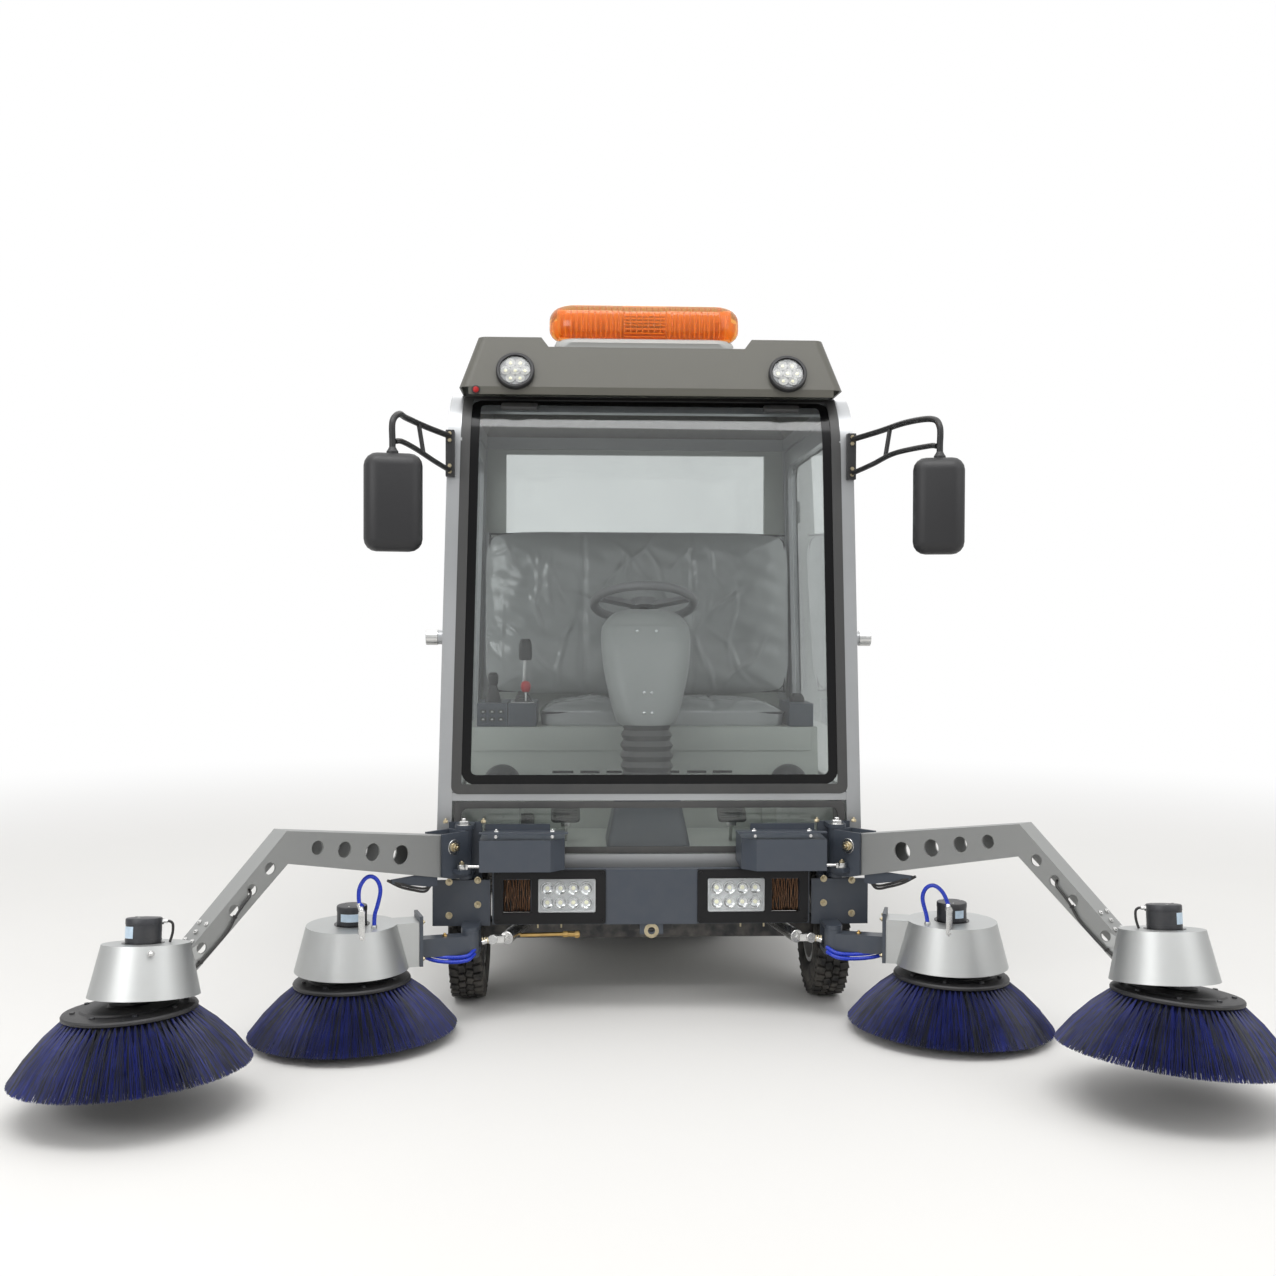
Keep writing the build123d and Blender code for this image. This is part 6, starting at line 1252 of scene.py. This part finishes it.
class SWEEPER_OT_linkage(SweeperOperator):
    """Plated swing linkages below the bumper and the brass rod between them"""
    bl_idname = "sweeper.linkage"
    bl_label = "Linkages"

    def make(self, context):
        form = Form("steel", "brass", "dark_plastic", "zinc")
        for _, sign in SIDES:
            place = on_side(sign)
            nose = place(0.43, -0.138, 0.249)
            way = (place(0.372, 0.06, 0.262) - nose).normalized()
            form.lathe(((0, 0), (0.0085, 0), (0.0085, 0.0025), (0.0105, 0.0025), (0.0185, 0.0025), (0.0195, 0.0035),
                        (0.0195, 0.05), (0.0185, 0.052), (0.0185, 0.19), (0, 0.19)), axis_matrix(nose, way), 36)
            form.nut(nose + way * 0.0005, -way, 0.011, 0.004)
            form.lathe(((0, -0.011), (0.0135, -0.011), (0.0145, -0.01), (0.0145, 0.01), (0.0135, 0.011), (0, 0.011)),
                       axis_matrix(place(0.468, -0.14, 0.247), (0.25 * sign, -1, 0.1)), 28)
            form.box(place(0.449, -0.138, 0.248), (0.026, 0.02, 0.022), bevel=0.003)
            form.rod(place(0.478, -0.14, 0.246), place(0.502, -0.146, 0.239), 0.0075)
            for k in range(3):
                form.nut(place(0.482 + 0.007 * k, -0.1405, 0.2455), (sign, 0, -0.25), 0.018, 0.004, 3)
        form.rod(at(-0.393, -0.052, 0.239), at(-0.262, -0.056, 0.2425), 0.0062, 18, 1)
        form.nut(at(-0.264, -0.056, 0.2425), LEFT, 0.017, 0.014, 1)
        form.rod(at(-0.25, -0.056, 0.2425), at(-0.214, -0.056, 0.2415), 0.0082, index=1)
        form.nut(at(-0.228, -0.056, 0.2415), LEFT, 0.02, 0.012, 1)
        form.box(at(0, -0.058, 0.268), (0.125, 0.012, 0.02), index=2)
        for x in (-0.34, -0.27, 0.27, 0.34):
            form.rod(at(x, -0.06, 0.277), at(x, -0.06, 0.262), 0.003, 12, 3)
        form.done("swing_linkages", "chassis")


# Cab inside

def creases(x, y, width, depth, count):
    """Height of randomly laid creases of a wrapping film at points of a panel."""
    rng = np.random.default_rng(3)
    height = np.zeros_like(x)
    for _ in range(count):
        way = rng.uniform(0, math.pi) if rng.random() < 0.4 else rng.normal(math.pi / 2, 0.35)
        dx, dy = x - rng.uniform(-0.5, 0.5) * width, y - rng.uniform(-0.5, 0.5) * depth
        along = dx * math.cos(way) + dy * math.sin(way)
        off = dy * math.cos(way) - dx * math.sin(way) + 0.012 * np.sin(along * rng.uniform(14, 30))
        height += (rng.uniform(0.0025, 0.0055) * np.exp(-(off / rng.uniform(0.006, 0.01)) ** 2)
                   * np.exp(-(along / rng.uniform(0.05, 0.16)) ** 4))
    return height


def cushion(name, size, matrix, crown, groove, grid, count):
    """Crowned cushion with round sides, sewn grooves, film creases and piping along its upper edge."""
    width, depth, tall = size
    form = Form("seat", "dark_plastic")
    across, along = grid
    u, v = np.meshgrid(np.linspace(-1, 1, across + 1), np.linspace(-1, 1, along + 1))
    edge_u, edge_v = np.abs(u) ** 9, np.abs(v) ** 9
    inner = (1 - edge_u) * (1 - edge_v)
    x = width / 2 * u * (1 - 0.05 * edge_v)
    y = depth / 2 * v * (1 - 0.05 * edge_u)
    rise = tall - 0.45 * tall * np.maximum(edge_u, edge_v) + crown * (1 - u * u) * (1 - v * v)
    for place in (-groove, groove):
        rise -= 0.009 * np.exp(-((u - place) * width / 0.022) ** 2) * (1 - edge_v)
    rise += (0.0022 * np.sin(23 * u + 7 * v) * np.sin(17 * v - 5 * u) + creases(x, y, width, depth, count)) * inner
    rows = [[form.mesh.verts.new(matrix @ Vector(point)) for point in zip(*row)]
            for row in zip(x.tolist(), y.tolist(), rise.tolist())]
    for low, high in zip(rows, rows[1:]):
        for k in range(across):
            form.mesh.faces.new((low[k], low[k + 1], high[k + 1], high[k]))
    rim = rows[0] + [row[-1] for row in rows[1:]] + rows[-1][-2::-1] + [row[0] for row in rows[-2:0:-1]]
    below = []
    back = matrix.inverted()
    for vert in rim:
        point = back @ vert.co
        below.append(form.mesh.verts.new(matrix @ Vector((point.x * 0.985, point.y * 0.985, 0))))
    for k in range(len(rim)):
        following = (k + 1) % len(rim)
        form.mesh.faces.new((rim[k], rim[following], below[following], below[k]))
    form.mesh.faces.new(below)
    loop = [matrix @ Vector((width / 2 * 0.975 * x, depth / 2 * 0.97 * y, tall * 0.56))
            for x, y in rounded_outline(2, 2, 0.12, 5)]
    form.tube([*loop, loop[0]], 0.0035, 8, 1, 2)
    piece = form.done(name, "chassis", ("seat",), angle=1.2)


# Height, width, depth and middle of the column cover's sections, from its foot up
COLUMN_SECTIONS = (
    (0.846, 0.168, 0.13, 0.268), (0.856, 0.196, 0.14, 0.27), (0.9, 0.222, 0.15, 0.277), (0.96, 0.252, 0.156, 0.29),
    (1.02, 0.276, 0.158, 0.306), (1.08, 0.291, 0.155, 0.324), (1.12, 0.294, 0.148, 0.338), (1.16, 0.288, 0.138, 0.352),
    (1.166, 0.283, 0.134, 0.354), (1.168, 0.276, 0.13, 0.355), (1.176, 0.27, 0.126, 0.357),
    (1.196, 0.236, 0.112, 0.366), (1.212, 0.188, 0.09, 0.376), (1.22, 0.12, 0.06, 0.384),
)


class SWEEPER_OT_cabin(SweeperOperator):
    """Seat, column cover, bellows, pedals, consoles and trim inside the cab"""
    bl_idname = "sweeper.cabin"
    bl_label = "Cab inside"

    def make(self, context):
        cushion("seat_cushion", (0.85, 0.4, 0.08), level_frame(0.072, 0.735, 0.8208), 0.01, 0.42, (150, 72), 26)
        cushion("seat_backrest", (1.13, 0.605, 0.07), axis_matrix(at(0, 1.01, 1.2075), (0, -1, 0.06), LEFT), 0.012,
                0.36, (190, 104), 42)
        self.column_and_pedals()
        self.consoles_and_levers()
        self.trim()

    def column_and_pedals(self):
        """Column cover on its bellows, and three pedals."""
        form = Form("column", "seal", "slate", "steel", "dark_plastic")
        form.skin([[at(x, middle + y, height)
                    for x, y in rounded_outline(width, depth, min(width, depth) * 0.46, 8)]
                   for height, width, depth, middle in COLUMN_SECTIONS])
        rings = []
        for t in (k / 24 for k in range(25)):
            width = 0.15 + 0.012 * math.sin(math.pi * t) + 0.01 * math.cos(math.pi * t * 12)
            rings.append([at(x, 0.24 + 0.026 * t + y, 0.65 + 0.198 * t)
                          for x, y in rounded_outline(width, width * 0.86, 0.055)])
        form.skin(rings, 1)
        form.tower(((0.262, 0.2, 0.02, 0.4756), (0.262, 0.2, 0.02, 0.48), (0.196, 0.158, 0.02, 0.64),
                    (0.188, 0.15, 0.02, 0.648), (0.15, 0.12, 0.02, 0.65)), level_frame(0, 0.21), 2)
        tilt = math.radians(20)
        wheel = axis_matrix(at(0, 0.47, 1.24), (0, math.sin(tilt), math.cos(tilt)))
        form.rod(wheel @ (UP * -0.15), wheel @ (UP * -0.0205), 0.02, 24, 4)
        for height, back, places in ((1.148, 0.2785, (-0.03, 0.032)), (0.952, 0.2105, (-0.01, 0.014)),
                                     (0.888, 0.2015, (-0.01, 0.014))):
            for x in places:
                form.lathe(((0.0052, 0), (0.0048, 0.002), (0.0025, 0.0034), (0, 0.0036)),
                           front_frame(x, back, height), 14, 3)
        for x in (-0.26, 0.27):
            pad = axis_matrix(at(x, 0.196, 0.566), (0, -0.56, 0.83), LEFT)
            form.pillow((0.092, 0.07, 0.012), 0.014, 0.004, pad, 1)
            for k in range(5):
                form.box(pad @ Vector((0, -0.024 + 0.012 * k, 0.0062)), (0.074, 0.004, 0.003), pad, 0.001, 1, 1)
            form.tube((pad @ (UP * -0.006), at(x, 0.205, 0.53), at(x, 0.235, 0.4765)), 0.0055, 12, 3, 6)
            form.box(at(x, 0.203, 0.538), (0.03, 0.016, 0.022), index=3)
            form.nut(at(x, 0.194, 0.538), FRONT, 0.011, 0.005, 3)
        pad = axis_matrix(at(-0.395, 0.2, 0.545), (0, -0.6, 0.8), LEFT)
        form.pillow((0.072, 0.06, 0.012), 0.012, 0.004, pad, 1)
        form.tube((pad @ (UP * -0.006), at(-0.395, 0.235, 0.4765)), 0.006, 12, 3)
        form.done("column_and_pedals", "chassis", ("steering_column",), angle=0.7)

    def consoles_and_levers(self):
        """Side consoles with switches, a bellows lever, a red knob and grips."""
        form = Form("slate", "dark_plastic", "steel", "red", "light_plastic", "seal")
        for x, width in ((-0.512, 0.104), (-0.41, 0.096), (0.542, 0.084)):
            form.box(at(x, 0.62, 0.8605), (width, 0.24, 0.08), bevel=0.005)
        for row in range(2):
            for column in range(3):
                key = front_frame(-0.542 + 0.03 * column, 0.4996, 0.846 + 0.026 * row)
                form.plate(rounded_outline(0.019, 0.013, 0.002), key, 0.003, 0.0007, 1)
                form.box(key @ (UP * 0.004), (0.009, 0.003, 0.006), bevel=0.001, index=4, segments=1)
        form.box(at(-0.41, 0.56, 0.9015), (0.078, 0.09, 0.003), bevel=0.001, index=2)
        widths = [0.062 - 0.0035 * k - 0.006 * (k % 2) for k in range(9)]
        form.tower([(width, width, 0.012, 0.903 + 0.0045 * k) for k, width in enumerate(widths)],
                   level_frame(-0.41, 0.56), 5)
        form.rod(at(-0.41, 0.56, 0.93), at(-0.402, 0.556, 1.055), 0.005, 14, 2)
        form.lathe(((0, 0), (0.011, 0.002), (0.0165, 0.012), (0.0175, 0.024), (0.013, 0.036), (0, 0.041)),
                   axis_matrix(at(-0.4, 0.535, 0.935), UP), 24, 3)
        form.rod(at(-0.4, 0.535, 0.905), at(-0.4, 0.535, 0.94), 0.004, 12, 2)
        for x, back, levels in (
            (-0.402, 0.556, ((0.04, 0.034, 0.012, 1.045), (0.046, 0.04, 0.016, 1.06), (0.044, 0.038, 0.016, 1.1),
                             (0.03, 0.026, 0.012, 1.118))),
            (-0.512, 0.56, ((0.055, 0.055, 0.014, 0.9005), (0.05, 0.05, 0.014, 0.912), (0.026, 0.026, 0.01, 0.958),
                            (0.034, 0.034, 0.014, 0.966), (0.036, 0.036, 0.016, 0.992), (0.022, 0.022, 0.01, 1.002))),
            (0.542, 0.6, ((0.05, 0.06, 0.012, 0.9005), (0.046, 0.056, 0.012, 0.915), (0.03, 0.036, 0.01, 0.93))),
        ):
            form.tower(levels, level_frame(x, back), 1)
        form.done("consoles_and_levers", "chassis", ("side_consoles",))

    def trim(self):
        """Panel with air slots, wheel arch covers with domes, and rear posts."""
        form = Form("inside", "dark_plastic", "frit", "silver")
        form.box(at(0, 0.4972, 0.7785), (1.15, 0.005, 0.078))
        for x, width in ((-0.272, 0.071), (-0.18, 0.066), (-0.098, 0.052), (0.098, 0.052), (0.184, 0.066),
                         (0.272, 0.066)):
            form.box(at(x, 0.4995, 0.667), (width, 0.004, 0.0085), bevel=0.0015, index=2)
        for sign in (-1, 1):
            form.box(at(sign * 0.494, 0.29, 0.566), (0.185, 0.33, 0.18), bevel=0.022, segments=4)
            form.lathe([*(polar(0.062, 0.2 * k).xy for k in range(8)), (0, 0.062)],
                       axis_matrix(at(sign * 0.466, 0.285, 0.6545), UP), 40, 1)
            form.box(at(sign * 0.573, 1.165, 1.2), (0.03, 0.02, 0.64), bevel=0.004, index=3)
        form.done("cab_trim", "chassis")


# Doors and rear

class SWEEPER_OT_doors(SweeperOperator):
    """Window seals, handle sleeves and hinge screws of the doors"""
    bl_idname = "sweeper.doors"
    bl_label = "Door details"

    def make(self, context):
        for side, sign in SIDES:
            out = (sign, 0, 0)
            form = Form("seal", "steel")
            middle, half = middle_and_half(f"door_glass_{side}")
            face = axis_matrix((sign * leaned(0.6472, middle.z), middle.y, middle.z), (sign, 0, SIDE_LEAN),
                               (-SIDE_LEAN * sign, 0, 1))
            width, depth = 2 * half.z + 0.036, 2 * half.y + 0.036
            form.plate(rounded_outline(width, depth, 0.078, 8), face, 0.0035, 0.00105,
                       holes=(hole(width - 0.048, depth - 0.048, 0.054, steps=8),))
            form.lathe(((0.0222, 0.002), (0.027, 0.002), (0.028, 0.005), (0.024, 0.008), (0.0222, 0.008)),
                       axis_matrix(at(sign * 0.629, 0.085, 1.13), out), 32, closed=True)
            form.lathe(((0.0222, 0.01), (0.0236, 0.011), (0.0236, 0.046), (0.0222, 0.047)),
                       axis_matrix(at(sign * 0.642, 0.085, 1.13), out), 36, 1, True)
            for height in (0.68, 1.62):
                for back in (1.098, 1.114):
                    form.nut(at(sign * leaned(0.6598, height), back, height), out, 0.008, 0.003, 1)
            form.done(f"door_trim_{side}", f"door_{side}")


# Radius of a mudguard, and the side place and the lift off that radius of its section's corners
MUDGUARD_RADIUS = 0.235
MUDGUARD_SECTION = ((-0.05, 0), (0.056, 0), (0.059, -0.012), (0.0615, -0.012), (0.0615, 0.001), (0.0585, 0.003),
                    (-0.05, 0.003))

# Distance of the hopper door's outer face behind the cab's front
HOPPER_REAR = 2.4279


class SWEEPER_OT_rear(SweeperOperator):
    """Ribs, latches, lamps, grilles and mudguards of the mid body and hopper"""
    bl_idname = "sweeper.rear"
    bl_label = "Mid body and hopper details"

    def make(self, context):
        self.mid_body()
        self.hopper()
        self.hopper_door()

    def mid_body(self):
        """Grilles, service covers and mudguards."""
        form = Form("dark_plastic", "silver", "steel")
        for sign in (-1, 1):
            place, out = on_side(sign), (sign, 0, 0)
            form.plate(rounded_outline(0.4, 0.19, 0.016), axis_matrix(place(0.6101, 1.342, 1.16), out, UP), 0.004)
            slat = Matrix.Rotation(math.radians(28 * sign), 4, "Y")
            for k in range(13):
                form.box(place(0.6165, 1.342, 0.988 + 0.0287 * k), (0.003, 0.156, 0.02), slat, 0.0008, segments=1)
            form.plate(rounded_outline(0.26, 0.19, 0.016), axis_matrix(place(0.6101, 1.342, 0.72), out, UP), 0.005,
                       0.0015, 1)
            form.box(place(0.618, 1.342, 0.8), (0.008, 0.07, 0.014), bevel=0.003)
            for back in (1.267, 1.417):
                for height in (0.61, 0.83):
                    form.nut(place(0.615, back, height), out, 0.01, 0.003, 2)
            wheel = place(0.559, 1.8, 0.21)
            rings = []
            for angle in np.linspace(-1.15, 1.15, 19):
                way = Vector((0, math.sin(angle), math.cos(angle)))
                rings.append([wheel + Vector((x * sign, 0, 0)) + way * (MUDGUARD_RADIUS + lift)
                              for x, lift in MUDGUARD_SECTION])
            form.skin(rings)
            form.box(place(0.48, 1.8, 0.436), (0.075, 0.04, 0.008), bevel=0.001)
        form.done("mid_body_details", "chassis")

    def hopper(self):
        """Ribs and side handles."""
        form = Form("silver", "steel")
        for sign in (-1, 1):
            place = on_side(sign)
            for back in (1.62, 1.86, 2.1):
                form.box(place(0.5535, back, 0.94), (0.008, 0.036, 0.7), bevel=0.0025)
            form.box(place(0.5535, 1.945, 1.305), (0.008, 0.86, 0.03), bevel=0.0025)
            form.tube((place(0.55, 2.24, 1.06), place(0.59, 2.24, 1.08), place(0.59, 2.24, 1.16),
                       place(0.55, 2.24, 1.18)), 0.006, 12, 1, 8)
        for x in (-0.36, 0.36):
            form.box(at(x, 1.95, 1.4035), (0.03, 0.86, 0.008))
        form.done("hopper_ribs", "hopper")

    def hopper_door(self):
        """Ribs, handle, tail lamps, latches and plate."""
        form = Form("slate", "steel", "dark_plastic", "tail_red", "amber_inner", "light_plastic")
        for x in (-0.3, 0, 0.3):
            form.box(at(x, HOPPER_REAR + 0.006, 0.96), (0.05, 0.012, 0.66), bevel=0.003)
        for height in (1.27, 0.66):
            form.box(at(0, HOPPER_REAR + 0.0065, height), (0.94, 0.013, 0.042), bevel=0.003)
        form.tube([at(x, HOPPER_REAR + off, 1.02) for x, off in ((-0.16, 0), (-0.16, 0.055), (0.16, 0.055), (0.16, 0))],
                  0.01, 14, 1, 5)
        for sign in (-1, 1):
            lamp = axis_matrix(at(sign * 0.43, HOPPER_REAR, 0.555), REAR, UP)
            form.plate(rounded_outline(0.095, 0.15, 0.012), lamp, 0.014, 0.003, 2)
            for width, y, index in ((0.074, 0.03, 3), (0.052, -0.04, 4)):
                form.plate(rounded_outline(0.082, width, 0.008), moved(lamp, 0, y, 0.012), 0.006, 0.0018, index)
            form.box(at(sign * 0.5, HOPPER_REAR + 0.012, 0.8), (0.035, 0.022, 0.085), bevel=0.004, index=1)
            form.lathe(((0, 0), (0.012, 0), (0.012, 0.012), (0.009, 0.016), (0, 0.016)),
                       axis_matrix(at(sign * 0.5, HOPPER_REAR + 0.02, 0.8), REAR), 24, 2)
        form.plate(rounded_outline(0.3, 0.11, 0.008), axis_matrix(at(0, HOPPER_REAR, 0.555), REAR, LEFT), 0.004,
                   index=5)
        form.done("hopper_door_details", "hopper_door")


# Main roller

# Radius of the bristles' tips and of the core, and length; rows of bristles, steps along a row and turns of a row
ROLLER_RADIUS, ROLLER_CORE, ROLLER_LENGTH = 0.1495, 0.058, 0.718
ROLLER_ROWS, ROLLER_STEPS, ROLLER_TURNS = 12, 120, 1.1
ROLLER_BRISTLE_HALF = 0.0016


def roller_bristles():
    """Points and faces of the helical rows of short bristles on the main roller."""
    rng = np.random.default_rng(31)
    points, faces = [], []
    width = np.array((0, 0, ROLLER_BRISTLE_HALF))
    for row in range(ROLLER_ROWS):
        for k in range(ROLLER_STEPS):
            share = (k + 0.5) / ROLLER_STEPS - 0.5
            for _ in range(3):
                angle = math.tau * (row / ROLLER_ROWS + ROLLER_TURNS * share) + rng.normal(0, 0.02)
                height = ROLLER_LENGTH * share + rng.normal(0, 0.002)
                lean = angle + rng.normal(0, 0.05)
                side = np.array((-math.sin(lean), math.cos(lean), 0)) * ROLLER_BRISTLE_HALF
                root = np.array((ROLLER_CORE * math.cos(angle), ROLLER_CORE * math.sin(angle), height))
                reach = ROLLER_RADIUS * rng.uniform(0.975, 1)
                tip = np.array((reach * math.cos(lean), reach * math.sin(lean), height + rng.normal(0, 0.003)))
                base = len(points)
                points += (root + side, root - side, root + width, tip + side, tip - side, tip + width)
                faces += ((base, base + 1, base + 4, base + 3), (base + 1, base + 2, base + 5, base + 4),
                          (base + 2, base, base + 3, base + 5), (base + 3, base + 4, base + 5))
    return np.array(points), faces


class SWEEPER_OT_roller(SweeperOperator):
    """Main sweeping roller with its helical bristle rows"""
    bl_idname = "sweeper.roller"
    bl_label = "Main roller"

    def make(self, context):
        bristles = placed_mesh("roller_bristles", *roller_bristles(), "main_roller_spin")
        settled("roller_bristles", bristles, ("bristle_black",), "main_roller", ("main_roller",))
        place = joint_frame("main_roller_spin")
        form = Form("chassis", "steel")
        end = ROLLER_LENGTH / 2
        form.lathe(((0, -end), (ROLLER_CORE, -end), (ROLLER_CORE + 0.002, -end + 0.002),
                    (ROLLER_CORE + 0.002, end - 0.002), (ROLLER_CORE, end), (0, end)), place, 40)
        _, half = middle_and_half("main_roller")
        form.lathe(((0, -half.x), (0.0175, -half.x), (0.0175, half.x), (0, half.x)), place, 24, 1)
        form.done("roller_core", "main_roller", ("main_roller",))


# Panel and running order

OPERATORS = (SWEEPER_OT_stage, SWEEPER_OT_carried, SWEEPER_OT_brushes, SWEEPER_OT_tyres, SWEEPER_OT_windscreen,
             SWEEPER_OT_roof, SWEEPER_OT_lamps, SWEEPER_OT_mirrors, SWEEPER_OT_fixings, SWEEPER_OT_outer_heads,
             SWEEPER_OT_inner_heads, SWEEPER_OT_linkage, SWEEPER_OT_cabin, SWEEPER_OT_doors, SWEEPER_OT_rear,
             SWEEPER_OT_roller)


class SWEEPER_PT_panel(bpy.types.Panel):
    """Lists the sweeper's operators and sizes"""
    bl_label = "Sweeper"
    bl_idname = "SWEEPER_PT_panel"
    bl_space_type = "VIEW_3D"
    bl_region_type = "UI"
    bl_category = "Sweeper"

    def draw(self, context):
        for item in OPERATORS:
            self.layout.operator(item.bl_idname)
        for group in (context.scene.sweeper_brushes, context.scene.sweeper_stage):
            for key in group.bl_rna.properties.keys():
                if key not in ("rna_type", "name"):
                    self.layout.prop(group, key)


CLASSES = (SweeperBrushSizes, SweeperStageSizes, *OPERATORS, SWEEPER_PT_panel)


def register():
    """Registers the classes and the scene's sizes."""
    for item in CLASSES:
        bpy.utils.register_class(item)
    bpy.types.Scene.sweeper_brushes = bpy.props.PointerProperty(type=SweeperBrushSizes)
    bpy.types.Scene.sweeper_stage = bpy.props.PointerProperty(type=SweeperStageSizes)


def unregister():
    """Removes the scene's sizes and the classes."""
    del bpy.types.Scene.sweeper_brushes
    del bpy.types.Scene.sweeper_stage
    for item in reversed(CLASSES):
        bpy.utils.unregister_class(item)


def main():
    """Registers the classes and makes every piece."""
    register()
    for item in OPERATORS:
        getattr(bpy.ops.sweeper, item.bl_idname.split(".")[1])()


if __name__ == "__main__":
    main()
